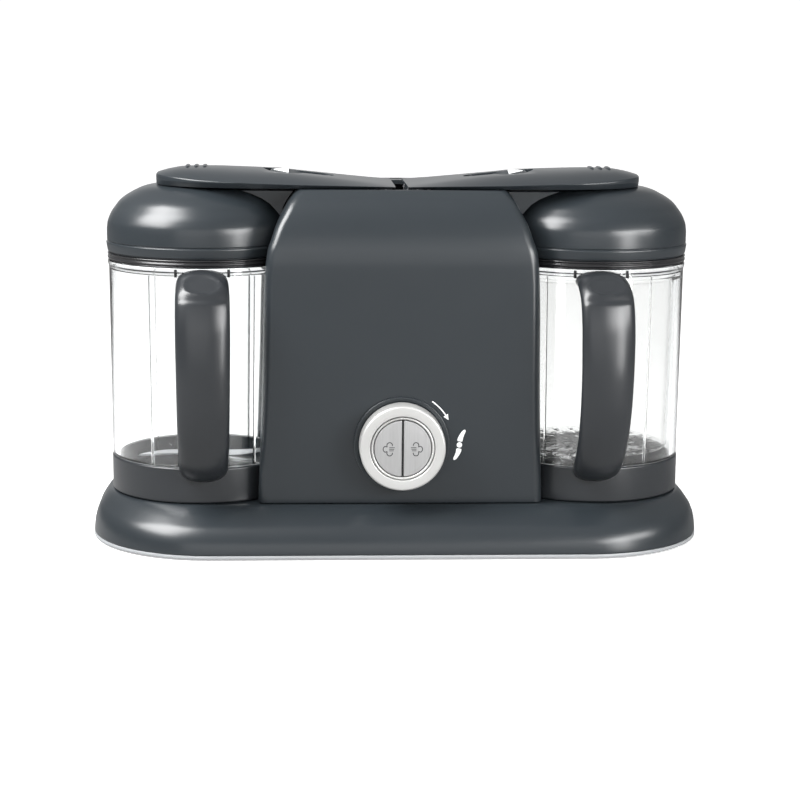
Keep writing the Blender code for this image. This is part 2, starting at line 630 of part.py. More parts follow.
def make_blade(name, side):
    at = (side * JUG_X, JUG_Y, 0)
    x = side * JUG_X
    socket = rod(f"drive_socket_{name}", 12.5, (x, JUG_Y, 32), (x, JUG_Y, 44.8), INNER, 24)
    combine(socket, star_bar(f"socket_star_{name}", 9.0, 6.9, x, 20, 42.5))
    hub = [
        (0.0, 57.3), (6.5, 57.3), (9.0, 55.6), (9.3, 53.6), (5.0, 53.6), (5.0, 51.6), (9.5, 51.6), (10.5, 48.9),
        (4.6, 48.9), (4.6, 45.1), (0.0, 45.1),
    ]
    turned(f"blade_hub_{name}", hub, at, GREY, 12)
    arm = [(7.5, -7.0), (22.0, -8.5), (34.0, -5.0), (42.0, 4.0), (36.0, 4.5), (22.0, 6.5), (7.5, 7.0)]
    edge = arm + [(-px, -py) for px, py in arm]
    outlines = [[(x + px, JUG_Y + py) for px, py in edge], circle(x, JUG_Y, 5.3, 14)]
    plate(f"blade_{name}", outlines, 52.0, 53.2, STEEL)


def make_basket(name, side):
    at = (side * JUG_X, JUG_Y, 0)
    basket = [
        (0.0, 60.4), (50.6, 60.4), (51.4, 61.4), (53.4, 168.0), (55.0, 173.4), (57.8, 173.4), (57.8, 171.6),
        (55.4, 171.0), (54.9, 168.0), (52.8, 60.0), (50.8, 58.6), (0.0, 58.6),
    ]
    body = turned(f"steam_basket_{name}", basket, at, SMOKE)
    bm = bmesh.new()
    for i in range(8):
        turn = Matrix.Rotation(2 * math.pi * i / 8, 4, "Z")
        place = Matrix.Translation(Vector((side * JUG_X, JUG_Y, 60)) * MM) @ turn @ Matrix.Translation((0.030, 0, 0))
        bmesh.ops.create_cube(bm, size=1.0, matrix=place @ Matrix.Diagonal((0.024, 0.0044, 0.020, 1)))
    combine(body, from_bmesh(f"basket_slots_{name}", bm, None))


def make_lid(name, side):
    at = (side * JUG_X, JUG_Y, 0)
    inside = [
        (61.8, 190.2), (61.8, 186.4), (56.6, 186.4), (56.6, 177.0), (54.6, 177.0), (54.6, 187.0), (59.0, 190.0),
        (59.0, 204.0), (53.5, 214.2), (43.0, 222.6), (28.0, 227.2), (0.0, 227.4),
    ]
    turned(f"lid_{name}", [(0.0, LID_OUTSIDE[0][1])] + LID_OUTSIDE + inside, at, CHARCOAL)
    seal = [
        (60.9, 186.1), (61.2, 185.2), (60.7, 184.2), (61.2, 183.2), (60.8, 181.9), (60.2, 181.3), (57.0, 181.3),
        (57.0, 186.1),
    ]
    turned(f"lid_seal_{name}", seal, at, SEAL, ring=True)


# ---- the rest ------------------------------------------------------------------------------------------------
def make_small_pieces():
    gland = [(3.5, 91.0), (3.5, 105.5), (5.6, 105.5), (6.5, 98.5), (6.5, 91.0)]
    obj = turned("cord_gland", gland, (70, 0, 13), RUBBER, facets=SMALL, ring=True)
    obj.rotation_euler = (-math.pi / 2, 0.0, 0.0)


def hang(holder, at, names):
    """Moves each piece's origin to a joint's axis and parents it to an empty that stands there."""
    empty = bpy.data.objects.new(holder, None)
    empty.empty_display_size = 0.02
    empty.location = Vector(at) * MM
    parts.objects.link(empty)
    for name in names:
        piece = parts.objects[name]
        if piece.location.length < 1e-9:
            piece.data.transform(Matrix.Translation(-empty.location))
            piece.location = empty.location
        piece.location = piece.location - empty.location
        piece.parent = empty


make_plinth()
make_tower()
make_hinge_block()
make_motor()
make_dial()
make_small_pieces()
for name, side in SIDES.items():
    make_arm(name, side)
    make_arm_duct(name, side)
    make_latch(name, side)
    make_boiler(name, side)
    make_coupler(name, side)
    make_jug(name, side)
    make_blade(name, side)
    make_lid(name, side)
make_basket("right", SIDES["right"])

for name, side in SIDES.items():
    axis = (side * JUG_X, JUG_Y, 0)
    jug = [f"jug_vessel_{name}", f"jug_collar_{name}", f"jug_handle_{name}"]
    if name == "right":
        jug.append("steam_basket_right")
    hang(f"arm_{name}_hinge", (side * HINGE_X, ARM_Y, HINGE_Z), [f"arm_{name}", f"arm_duct_{name}"])
    hang(f"latch_{name}_slide", (side * 62, ARM_Y, 232), [f"latch_{name}"])
    hang(f"jug_{name}_axis", axis, jug)
    hang(f"lid_{name}_axis", axis, [f"lid_{name}", f"lid_seal_{name}"])
    hang(f"blade_{name}_axis", axis, [f"blade_{name}", f"blade_hub_{name}", f"drive_socket_{name}"])
    hang(f"coupler_{name}_axis", axis, [f"coupler_pulley_{name}", f"drive_coupler_{name}"])
    hang(f"button_{name}_slide", (side * BUTTON_X, 0, DIAL_Z), [f"steam_button_{name}"])
hang("motor_axis", (0, MOTOR_Y, 0), ["motor_shaft", "motor_pulley"])
hang("dial_axis", (0, 0, DIAL_Z), ["dial_ring"])
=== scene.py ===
"""Looks of the twin-jug baby food maker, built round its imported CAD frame.

Shapes are worked out in millimetres in the frame's own axes: X along the machine, -Y its front, Z up.
Every profile below is a list of (radius, height) points. A third value is the corner's radius.
"""

import json
from math import acos, atan2, copysign, cos, degrees, exp, log, pi, radians, sin, sqrt

import bmesh
import bpy
from mathutils import Matrix, Vector


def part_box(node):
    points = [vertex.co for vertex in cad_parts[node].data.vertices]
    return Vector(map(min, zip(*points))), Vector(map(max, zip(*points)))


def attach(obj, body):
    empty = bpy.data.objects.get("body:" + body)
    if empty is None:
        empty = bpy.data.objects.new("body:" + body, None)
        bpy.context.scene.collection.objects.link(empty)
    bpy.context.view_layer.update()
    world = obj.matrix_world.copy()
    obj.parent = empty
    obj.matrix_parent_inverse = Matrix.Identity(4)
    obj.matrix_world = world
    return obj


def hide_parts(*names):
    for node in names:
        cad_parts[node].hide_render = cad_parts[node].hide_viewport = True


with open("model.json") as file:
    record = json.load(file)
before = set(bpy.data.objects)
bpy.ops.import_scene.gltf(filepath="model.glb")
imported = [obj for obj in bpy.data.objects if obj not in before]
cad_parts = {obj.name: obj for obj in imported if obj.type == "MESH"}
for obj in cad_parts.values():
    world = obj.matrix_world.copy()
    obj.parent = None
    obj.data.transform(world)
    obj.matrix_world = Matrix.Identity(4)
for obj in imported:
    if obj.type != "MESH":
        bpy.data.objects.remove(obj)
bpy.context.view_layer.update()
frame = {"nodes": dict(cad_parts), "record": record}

MM = 0.001
SIDES = {"left": -1, "right": 1}
# an edge that turns by more degrees than this stays crisp
CRISP = 32


def middle(node):
    """The middle of a CAD node's box, in millimetres."""
    low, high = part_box(node)
    return (low + high) / 2 / MM


def reach(node):
    """Lowest and highest corner of a CAD node, in millimetres."""
    low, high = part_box(node)
    return low / MM, high / MM


# ---- places read from the frame ----
JUG_X, JUG_Y = middle("jug_vessel_right").x, middle("jug_vessel_right").y
DIAL_Z = middle("dial_bezel").z
BOILER_X, ARM_Y = middle("boiler_right").x, middle("boiler_right").y
HINGE_X, HINGE_Z = middle("hinge_pin_right").x, middle("hinge_pin_right").z
ARM_TOP = reach("arm_right")[1].z
ARM_TIP = reach("arm_right")[1].x
LID_TOP = reach("lid_right")[1].z


def placed(name, data):
    """A new object in the scene that holds data."""
    obj = bpy.data.objects.new(name, data)
    bpy.context.scene.collection.objects.link(obj)
    return obj


# ---- camera ----
def make_camera():
    data = bpy.data.cameras.new("camera")
    data.sensor_width = 36.0
    data.lens = 91.86
    data.clip_start, data.clip_end = 0.05, 60.0
    camera = placed("camera", data)
    heading = Matrix.Rotation(radians(-3.21), 4, "Z")
    tilt = Matrix.Rotation(radians(90 - 10.29), 4, "X")
    roll = Matrix.Rotation(radians(0.53), 4, "Z")
    place = Matrix.Translation((-0.07247, -1.34007, 0.32929))
    camera.matrix_world = place @ heading @ tilt @ roll
    bpy.context.scene.camera = camera


make_camera()


# ---- formulas ----
def through(table):
    """A smooth function through rows of (place, value, value...) that never overshoots a row."""
    places = [row[0] for row in table]
    columns = list(zip(*[row[1:] for row in table]))
    tangents = []
    for values in columns:
        pairs = zip(values, values[1:], places, places[1:])
        steps = [(b - a) / (q - p) for a, b, p, q in pairs]
        inner = [0.0 if a * b <= 0 else 2 * a * b / (a + b) for a, b in zip(steps, steps[1:])]
        tangents.append([steps[0], *inner, steps[-1]])

    def at(place):
        place = min(max(place, places[0]), places[-1])
        i = max(k for k in range(len(places) - 1) if places[k] <= place)
        wide = places[i + 1] - places[i]
        t = (place - places[i]) / wide
        found = []
        for values, slopes in zip(columns, tangents):
            a, b = values[i], values[i + 1]
            m, n = slopes[i] * wide, slopes[i + 1] * wide
            cubic = (2 * a - 2 * b + m + n) * t ** 3 + (3 * b - 3 * a - 2 * m - n) * t ** 2 + m * t + a
            found.append(cubic)
        return found[0] if len(found) == 1 else found

    return at


def lower_of(a, b, soft=0.25):
    """The lower of two heights, with the crease between them rounded."""
    low = min(a, b)
    return low - soft * log(exp((low - a) / soft) + exp((low - b) / soft))


def span(first, last, count):
    """Evenly spaced values, both ends included."""
    return [first + (last - first) * i / (count - 1) for i in range(count)]


def soften(points, radius=0.6, steps=4):
    """A closed outline with its corners rounded. A point may hold its own radius as a third value."""
    found = []
    count = len(points)
    for i, point in enumerate(points):
        here = Vector(point[:2])
        size = point[2] if len(point) > 2 else radius
        if size <= 0:
            found.append(tuple(here))
            continue
        before = Vector(points[i - 1][:2]) - here
        after = Vector(points[(i + 1) % count][:2]) - here
        cut_in = min(size, 0.47 * before.length)
        cut_out = min(size, 0.47 * after.length)
        start, end = here + before.normalized() * cut_in, here + after.normalized() * cut_out
        for t in span(0.0, 1.0, steps + 1):
            found.append(tuple(start * (1 - t) ** 2 + here * 2 * t * (1 - t) + end * t ** 2))
    return found


def arc(x, y, radius, first, last, count):
    """Points of an arc, angles in degrees."""
    turns = [radians(a) for a in span(first, last, count)]
    return [(x + radius * cos(t), y + radius * sin(t)) for t in turns]


def rounded(half, front, back, r_front, r_back, steps):
    """A rounded rectangle about X 0, as (x, y)."""
    found = arc(half - r_front, front + r_front, r_front, -90, 0, steps)
    found += arc(half - r_back, back - r_back, r_back, 0, 90, steps)
    found += arc(-half + r_back, back - r_back, r_back, 90, 180, steps)
    return found + arc(-half + r_front, front + r_front, r_front, 180, 270, steps)


def stadium(low, high, half, steps=14):
    """A slot along the first axis with round ends."""
    return arc(high - half, 0, half, -90, 90, steps) + arc(low + half, 0, half, 90, 270, steps)


# ---- mesh helpers ----
def solid(name, points, faces):
    """An object from points in millimetres, with its faces turned outwards."""
    mesh = bpy.data.meshes.new(name)
    mesh.from_pydata([tuple(Vector(p) * MM) for p in points], [], faces)
    bm = bmesh.new()
    bm.from_mesh(mesh)
    bmesh.ops.remove_doubles(bm, verts=bm.verts, dist=1e-7)
    bmesh.ops.dissolve_degenerate(bm, edges=bm.edges, dist=1e-7)
    bmesh.ops.recalc_face_normals(bm, faces=bm.faces)
    bm.to_mesh(mesh)
    bm.free()
    return placed(name, mesh)


def loft(name, rings, loop=False):
    """A solid through rings of equally many points. With loop the last ring joins the first one."""
    count = len(rings[0])
    points = [p for ring in rings for p in ring]
    faces = []
    last = len(rings) if loop else len(rings) - 1
    for k in range(last):
        low, high = k * count, (k + 1) % len(rings) * count
        for i in range(count):
            j = (i + 1) % count
            faces.append((low + i, low + j, high + j, high + i))
    if not loop:
        faces.append(tuple(range(count)))
        faces.append(tuple(range(len(points) - count, len(points))))
    return solid(name, points, faces)


def turned(name, profile, at, steps=128, facing="up"):
    """A turned piece: a ring, or a full body where the profile starts and ends on the axis.

    profile is (radius, height); facing front or back lays the axis along Y.
    """
    points, faces = [], []
    rows = []

    def lay(radius, height, turn):
        x, y = radius * cos(turn), radius * sin(turn)
        spot = {"up": (x, y, height), "front": (x, -height, y), "back": (x, height, y)}[facing]
        return [a + b for a, b in zip(at, spot)]

    for radius, height in profile:
        if radius == 0:
            rows.append([len(points)] * steps)
            points.append(lay(0.0, height, 0.0))
        else:
            rows.append(list(range(len(points), len(points) + steps)))
            points += [lay(radius, height, 2 * pi * i / steps) for i in range(steps)]
    pairs = list(zip(rows, rows[1:]))
    if profile[0][0] > 0:
        pairs.append((rows[-1], rows[0]))
    for low, high in pairs:
        for i in range(steps):
            j = (i + 1) % steps
            corners = dict.fromkeys((low[i], low[j], high[j], high[i]))
            if len(corners) > 2:
                faces.append(tuple(corners))
    return solid(name, points, faces)


def bar(name, radius, low, high, at, steps=128, facing="up"):
    """A plain round bar, to cut with or to join on."""
    return turned(name, [(0, low), (radius, low), (radius, high), (0, high)], at, steps, facing)


def prism(name, outline, low, high, along="z"):
    """An outline pulled straight along an axis: z takes (x, y) points, y takes (x, z) points."""
    rings = [[(a, b, h) if along == "z" else (a, h, b) for a, b in outline] for h in (low, high)]
    return loft(name, rings)


def slab(name, low, high, edge=0.8, steps=4):
    """A box with rounded edges all round, between any two opposite corners."""
    low, high = (Vector(map(pick, low, high)) for pick in (min, max))
    size = (high - low) / 2
    centre = (high + low) / 2
    edge = min(edge, *(s * 0.98 for s in size))
    rings = []
    for z_way, turns in ((-1, span(-90, 0, steps)), (1, span(0, 90, steps))):
        for turn in turns:
            inset = edge * (1 - cos(radians(turn)))
            z = z_way * (size.z - edge) + edge * sin(radians(turn))
            corner = max(0.02, edge - inset)
            flat = rounded(size.x - inset, -size.y + inset, size.y - inset, corner, corner, steps)
            rings.append([(centre.x + x, centre.y + y, centre.z + z) for x, y in flat])
    return loft(name, rings)


def combine(obj, other, operation="DIFFERENCE"):
    """Cuts other out of obj, or joins it on, and removes other."""
    modifier = obj.modifiers.new("shape", "BOOLEAN")
    modifier.operation = operation
    modifier.solver = "EXACT"
    modifier.object = other
    graph = bpy.context.evaluated_depsgraph_get()
    mesh = bpy.data.meshes.new_from_object(obj.evaluated_get(graph))
    obj.modifiers.clear()
    obj.data = mesh
    bpy.data.objects.remove(other)


def keep_side(obj, y, front):
    """Cuts obj by the plane at y and closes it. With front the part before the plane stays."""
    bm = bmesh.new()
    bm.from_mesh(obj.data)
    everything = bm.verts[:] + bm.edges[:] + bm.faces[:]
    normal = (0, 1, 0) if front else (0, -1, 0)
    bmesh.ops.bisect_plane(bm, geom=everything, plane_co=(0, y * MM, 0), plane_no=normal, clear_outer=True)
    rim = [e for e in bm.edges if e.is_boundary]
    bmesh.ops.triangle_fill(bm, use_beauty=True, edges=rim)
    bmesh.ops.recalc_face_normals(bm, faces=bm.faces)
    bm.to_mesh(obj.data)
    bm.free()
    return obj


def merge(name, pieces):
    """Several separate bodies as one object."""
    bm = bmesh.new()
    for one in pieces:
        bm.from_mesh(one.data)
        bpy.data.objects.remove(one)
    mesh = bpy.data.meshes.new(name)
    bm.to_mesh(mesh)
    bm.free()
    return placed(name, mesh)


def dress(obj, slot, body, *nodes, paint=None):
    """Shades a finished piece, gives it its material and hangs it on its body in place of CAD nodes."""
    obj.data.materials.clear()
    obj.data.materials.append(paint or SLOT_PAINT[slot])
    obj.data.shade_smooth()
    obj.data.set_sharp_from_angle(angle=radians(CRISP))
    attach(obj, body)
    if nodes:
        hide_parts(*nodes)


# ---- nodes ----
def mapped(nodes, links, value, source, target):
    """A node that maps the range source onto the range target, clamped."""
    node = nodes.new("ShaderNodeMapRange")
    for socket, number in zip(("From Min", "From Max", "To Min", "To Max"), (*source, *target)):
        node.inputs[socket].default_value = number
    links.new(value, node.inputs["Value"])
    return node.outputs["Result"]


def straight_rays(nodes, links, value):
    """value for rays from the camera or through clear plastic, 0 for all others."""
    rays = nodes.new("ShaderNodeLightPath")
    seen = nodes.new("ShaderNodeMath")
    seen.operation = "MAXIMUM"
    links.new(rays.outputs["Is Camera Ray"], seen.inputs[0])
    links.new(rays.outputs["Is Transmission Ray"], seen.inputs[1])
    scaled = nodes.new("ShaderNodeMath")
    scaled.operation = "MULTIPLY"
    links.new(seen.outputs[0], scaled.inputs[0])
    scaled.inputs[1].default_value = value
    return scaled.outputs[0]


# ---- materials ----
class Paint:
    """A node material on one Principled shader, with short ways to add procedural detail."""

    def __init__(self, name, roughness=0.5, metallic=0.0):
        self.made = bpy.data.materials.new(name)
        self.made.use_nodes = True
        self.nodes = self.made.node_tree.nodes
        self.links = self.made.node_tree.links
        self.shader = self.nodes["Principled BSDF"]
        self.shader.inputs["Roughness"].default_value = roughness
        self.shader.inputs["Metallic"].default_value = metallic
        self.place = self.nodes.new("ShaderNodeTexCoord").outputs["Object"]

    def noise(self, scale, detail=2.0, stretch=None):
        place = self.place
        if stretch:
            mapping = self.nodes.new("ShaderNodeMapping")
            mapping.inputs["Scale"].default_value = stretch
            self.links.new(place, mapping.inputs["Vector"])
            place = mapping.outputs["Vector"]
        node = self.nodes.new("ShaderNodeTexNoise")
        node.inputs["Scale"].default_value = scale
        node.inputs["Detail"].default_value = detail
        self.links.new(place, node.inputs["Vector"])
        return node.outputs["Fac"]

    def range(self, value, low, high, from_low=0.3, from_high=0.7):
        return mapped(self.nodes, self.links, value, (from_low, from_high), (low, high))

    def colour(self, value, first, second, from_low=0.3, from_high=0.7):
        ramp = self.nodes.new("ShaderNodeValToRGB")
        ramp.color_ramp.elements[0].position = from_low
        ramp.color_ramp.elements[1].position = from_high
        ramp.color_ramp.elements[0].color = (*first, 1.0)
        ramp.color_ramp.elements[1].color = (*second, 1.0)
        self.links.new(value, ramp.inputs["Fac"])
        self.feed("Base Color", ramp.outputs["Color"])

    def bump(self, value, height):
        node = self.nodes.new("ShaderNodeBump")
        node.inputs["Strength"].default_value = 1.0
        node.inputs["Distance"].default_value = height
        self.links.new(value, node.inputs["Height"])
        self.feed("Normal", node.outputs["Normal"])

    def feed(self, socket, value):
        self.links.new(value, self.shader.inputs[socket])

    def blend(self, share, first, second):
        """Ends the material in a mix of two shaders."""
        mix = self.nodes.new("ShaderNodeMixShader")
        for value, socket in zip((share, first, second), mix.inputs):
            self.links.new(value, socket)
        self.links.new(mix.outputs["Shader"], self.nodes["Material Output"].inputs["Surface"])

    def set(self, **values):
        for socket, value in values.items():
            self.shader.inputs[socket.replace("_", " ")].default_value = value


def tones(colour, spread):
    """A darker and a lighter version of a colour."""
    return [tuple(c * (1 + way * spread) for c in colour) for way in (-1, 1)]


def plastic(name, colour, roughness, spread=0.04, grain=0.000006, grain_scale=2200.0):
    """Moulded plastic: cloudy tone, fine spark-eroded grain and uneven gloss."""
    paint = Paint(name, roughness)
    paint.colour(paint.noise(1600.0, 1.0), *tones(colour, spread), 0.2, 0.8)
    gloss = paint.range(paint.noise(40.0, 1.0), roughness - 0.02, roughness + 0.02, 0.15, 0.85)
    paint.feed("Roughness", gloss)
    paint.bump(paint.noise(grain_scale, 1.0), grain)
    return paint.made


def metal(name, colour, roughness, stretch, grain=0.000006, spread=0.05, metallic=1.0):
    """Metal with fine lines: stretch is small along the lines and large across them."""
    paint = Paint(name, roughness, metallic)
    lines = paint.noise(1.0, 2.0, stretch)
    paint.colour(lines, *tones(colour, spread))
    gloss = paint.range(lines, roughness - 0.05, roughness + 0.06)
    paint.feed("Roughness", gloss)
    paint.bump(lines, grain)
    return paint.made


def clear(name, tint, painted_edge_shade, roughness=0.02, index=1.49):
    """Clear moulded plastic: it refracts, has painted shade where it is seen edge on, and casts no shadow.
    """
    paint = Paint(name, roughness)
    slant = paint.nodes.new("ShaderNodeLayerWeight")
    slant.inputs["Blend"].default_value = 0.5
    # the darkening towards edge-on parts is painted shade for the dark lines refraction gives at the walls
    paint.colour(slant.outputs["Facing"], tint, painted_edge_shade, 0.66, 0.93)
    gloss = paint.range(paint.noise(45.0, 2.0), roughness, roughness + 0.025)
    paint.feed("Roughness", gloss)
    paint.bump(paint.noise(70.0, 1.0), 0.00002)
    paint.set(IOR=index, Transmission_Weight=1.0)
    rays = paint.nodes.new("ShaderNodeLightPath")
    pass_through = paint.nodes.new("ShaderNodeBsdfTransparent")
    pass_through.inputs["Color"].default_value = (*tint, 1.0)
    paint.blend(rays.outputs["Is Shadow Ray"], paint.shader.outputs[0], pass_through.outputs[0])
    return paint.made


CHARCOAL = plastic("charcoal_plastic", (0.0165, 0.0205, 0.024), 0.30)
GREY = plastic("grey_plastic", (0.0165, 0.0185, 0.021), 0.30, grain=0.000005)
INNER = plastic("inner_plastic", (0.16, 0.16, 0.17), 0.55, grain=0.00003)
# the second colour of each is painted shade where the plastic is seen edge on
CLEAR = clear("clear_plastic", (0.87, 0.88, 0.88), (0.11, 0.12, 0.13))
SMOKE = clear("smoke_plastic", (0.95, 0.945, 0.94), (0.36, 0.36, 0.36), 0.02, 1.06)
CHROME = metal("bright_chrome", (0.48, 0.48, 0.47), 0.36, (60, 60, 60), 0.000002, 0.015, 0.4)
SATIN = metal("satin_metal", (0.50, 0.50, 0.50), 0.36, (1800, 900, 60), metallic=0.85)
STEEL = metal("brushed_steel", (0.62, 0.63, 0.65), 0.34, (60, 60, 2400))
SEAL = plastic("black_seal", (0.012, 0.012, 0.013), 0.22, grain=0.00001)
RUBBER = plastic("rubber", (0.03, 0.03, 0.03), 0.75, grain=0.00006, grain_scale=1500.0)
BOARD = plastic("circuit_board", (0.03, 0.17, 0.09), 0.5, spread=0.3)
# a lighter grey for the plinth's bottom lip: a painted reflection of the bright floor
PAINTED_LIP_REFLECTION = plastic("painted_lip_reflection", (0.30, 0.31, 0.32), 0.4, grain=0.00001)
PRINT = plastic("white_print", (0.82, 0.83, 0.83), 0.5, spread=0.02)
ICON = plastic("dark_print", (0.03, 0.03, 0.032), 0.5)
SLOT_PAINT = {
    "charcoal": CHARCOAL, "grey_plastic": GREY, "inner_plastic": INNER, "clear_plastic": CLEAR,
    "smoke_plastic": SMOKE, "bright_chrome": CHROME, "satin_metal": SATIN, "steel": STEEL, "seal": SEAL,
    "rubber": RUBBER, "board": BOARD,
}
for row in frame["record"]["subparts"]:
    node = frame["nodes"][row["node"]]
    node.data.materials.clear()
    node.data.materials.append(SLOT_PAINT[row["material_slot"]])


# ---- floor, world and lights ----
# where the camera sees them straight: what the floor gives off and how bright the world is
FLOOR_LIFT, BACKDROP = 0.46, 1.05
# what reflections see: the floor's grey, the world from low to high, and a brighter patch behind
FLOOR_FAR, SKY, BEHIND = (0.30, 0.30, 0.30, 1.0), (0.13, 0.52), 0.6


def make_stage():
    """The floor, bright where the camera sees it and grey where it is reflected."""
    bm = bmesh.new()
    bmesh.ops.create_grid(bm, x_segments=8, y_segments=8, size=14.0)
    mesh = bpy.data.meshes.new("floor")
    bm.to_mesh(mesh)
    bm.free()
    floor = placed("floor", mesh)
    floor.location.z = -0.0003
    paint = Paint("floor_paint", 0.6)
    paint.colour(paint.noise(3.0), (0.86,) * 3, (0.88,) * 3)
    paint.set(Specular_IOR_Level=0.2, Emission_Color=(1.0, 1.0, 1.0, 1.0))
    paint.feed("Emission Strength", straight_rays(paint.nodes, paint.links, FLOOR_LIFT))
    shade = paint.nodes.new("ShaderNodeBsdfDiffuse")
    shade.inputs["Color"].default_value = FLOOR_FAR
    seen = straight_rays(paint.nodes, paint.links, 1.0)
    paint.blend(seen, shade.outputs[0], paint.shader.outputs[0])
    mesh.materials.append(paint.made)


def make_world():
    """An even backdrop for the camera, a soft sky with a bright patch for reflections."""
    world = bpy.data.worlds.new("studio")
    bpy.context.scene.world = world
    world.use_nodes = True
    nodes, links = world.node_tree.nodes, world.node_tree.links
    back = nodes["Background"]
    place = nodes.new("ShaderNodeTexCoord")
    split = nodes.new("ShaderNodeSeparateXYZ")
    links.new(place.outputs["Generated"], split.inputs[0])
    both = nodes.new("ShaderNodeMath")
    links.new(mapped(nodes, links, split.outputs["Z"], (-0.05, 1.0), SKY), both.inputs[0])
    links.new(mapped(nodes, links, split.outputs["Y"], (0.86, 0.97), (0.0, BEHIND)), both.inputs[1])
    mix = nodes.new("ShaderNodeMix")
    mix.data_type = "FLOAT"
    links.new(straight_rays(nodes, links, 1.0), mix.inputs["Factor"])
    links.new(both.outputs[0], mix.inputs["A"])
    mix.inputs["B"].default_value = BACKDROP
    links.new(mix.outputs["Result"], back.inputs["Strength"])
    back.inputs["Color"].default_value = (1.0, 1.0, 1.0, 1.0)


def softbox(name, azimuth, elevation, distance, size, power):
    """An area light aimed at the machine's middle. Azimuth 0 is the front, 90 the right."""
    data = bpy.data.lights.new(name, "AREA")
    data.shape = "RECTANGLE"
    data.size, data.size_y = size
    data.energy = power
    light = placed(name, data)
    a, e = radians(azimuth), radians(elevation)
    away = Vector((sin(a) * cos(e), -cos(a) * cos(e), sin(e)))
    light.location = Vector((0, 0, 0.15)) + away * distance
    light.rotation_euler = away.to_track_quat("Z", "Y").to_euler()


def make_lights():
    data = bpy.data.lights.new("ceiling", "SUN")
    data.energy = 1.2
    data.angle = radians(50)
    sun = placed("ceiling", data)
    sun.rotation_euler = (radians(30), radians(-18), 0)
    sun.visible_glossy = False
    softbox("left_box", -67, 42, 0.95, (0.58, 0.60), 22.0)
    softbox("right_strip", 46, 14, 1.1, (0.95, 0.17), 9.5)
    softbox("front_box", -10, 8, 2.6, (2.0, 0.9), 9.0)
    softbox("low_strip", 41, 3, 0.95, (0.23, 0.36), 3.0)
    bpy.context.scene.view_settings.view_transform = "Standard"


make_stage()
make_world()
make_lights()


# ---- plinth ----
# (height, share of the flare) up the plinth's side
PLINTH = [
    (1.0, 0.93), (3.2, 0.955), (3.7, 0.975), (6.0, 0.965), (10.0, 0.93), (14.0, 0.865), (19.0, 0.72),
    (23.0, 0.51), (27.5, 0.22), (30.0, 0.0),
]
plinth_share = through(PLINTH)
# half width, front, back and corner radii of the plinth's top, and what the full flare adds to each
PLINTH_TOP = (188.3, -69.5, 86.0, 62.0, 70.0)
PLINTH_FLARE = (11.7, -25.0, 11.0, 18.0, 15.0)


def plinth_ring(height, inset=0.0):
    """The plinth's outline at a height."""
    share = plinth_share(height)
    half, front, back, r_front, r_back = (a + b * share for a, b in zip(PLINTH_TOP, PLINTH_FLARE))
    flat = rounded(half - inset, front + inset, back - inset, r_front - inset, r_back - inset, 22)
    return [(x, y, height) for x, y in flat]


def make_plinth():
    rings = [plinth_ring(z) for z in span(1.0, 29.2, 40)]
    rings += [plinth_ring(z, inset) for z, inset in ((29.5, 0.15), (29.75, 0.4), (29.93, 0.8), (30.0, 1.3))]
    shell = loft("plinth", rings)
    hollow = [plinth_ring(-2.0, 3.0)] + [plinth_ring(z, 3.0) for z in span(1.0, 25.5, 12)]
    hollow.append(plinth_ring(27.0, 4.5))
    combine(shell, loft("room", hollow))
    for side in SIDES.values():
        seat = [(0, 40), (58.4, 40), (58.4, 30.2), (57.9, 29.85), (57.6, 29.4), (57.6, 28.3), (0, 28.3)]
        combine(shell, turned("seat", seat, (side * JUG_X, JUG_Y, 0)))
        combine(shell, bar("well", 8, 20, 40, (side * JUG_X, JUG_Y, 0), 64))
    combine(shell, bar("well", 7, 20, 40, (0, 25, 0), 48))
    gland = middle("cord_gland")
    combine(shell, bar("hole", 6.9, 80, 120, (gland.x, 0, gland.z), 48, "back"))
    dress(shell, "charcoal", "housing", "base_shell")

    # the bottom lip in a lighter grey: a painted reflection of the floor beside the plinth
    rows = [
        (0.9, 0.3), (0.7, 0.0), (0.8, -0.3), (1.2, -0.5), (2.6, -0.45), (2.95, -0.3), (3.05, 0.0),
        (3.1, 0.9), (0.9, 0.9),
    ]
    rings = [[(x, y, z) for x, y, _ in plinth_ring(3.0, inset)] for z, inset in rows]
    dress(loft("plinth_lip_reflection", rings, loop=True), "charcoal", "housing", paint=PAINTED_LIP_REFLECTION)


make_plinth()


# ---- tower ----
# (height, half width, front, back)
TOWER = [
    (30.4, 91.2, -66.5, 84.0), (100.0, 88.5, -70.5, 84.0), (165.0, 87.0, -72.5, 83.0),
    (183.0, 86.0, -72.8, 82.0), (192.0, 84.7, -72.3, 81.0), (200.0, 82.0, -71.0, 79.5),
    (208.0, 79.2, -68.8, 77.0), (216.0, 75.2, -65.5, 73.0), (223.0, 71.3, -61.0, 67.5),
    (229.7, 66.3, -53.8, 57.0),
]
tower_at = through(TOWER)
# radius of the bay for a jug, and where the front panel ends and the rear cover starts
POCKET_R, PANEL_END, COVER_START = 62.5, -45.15, -44.85


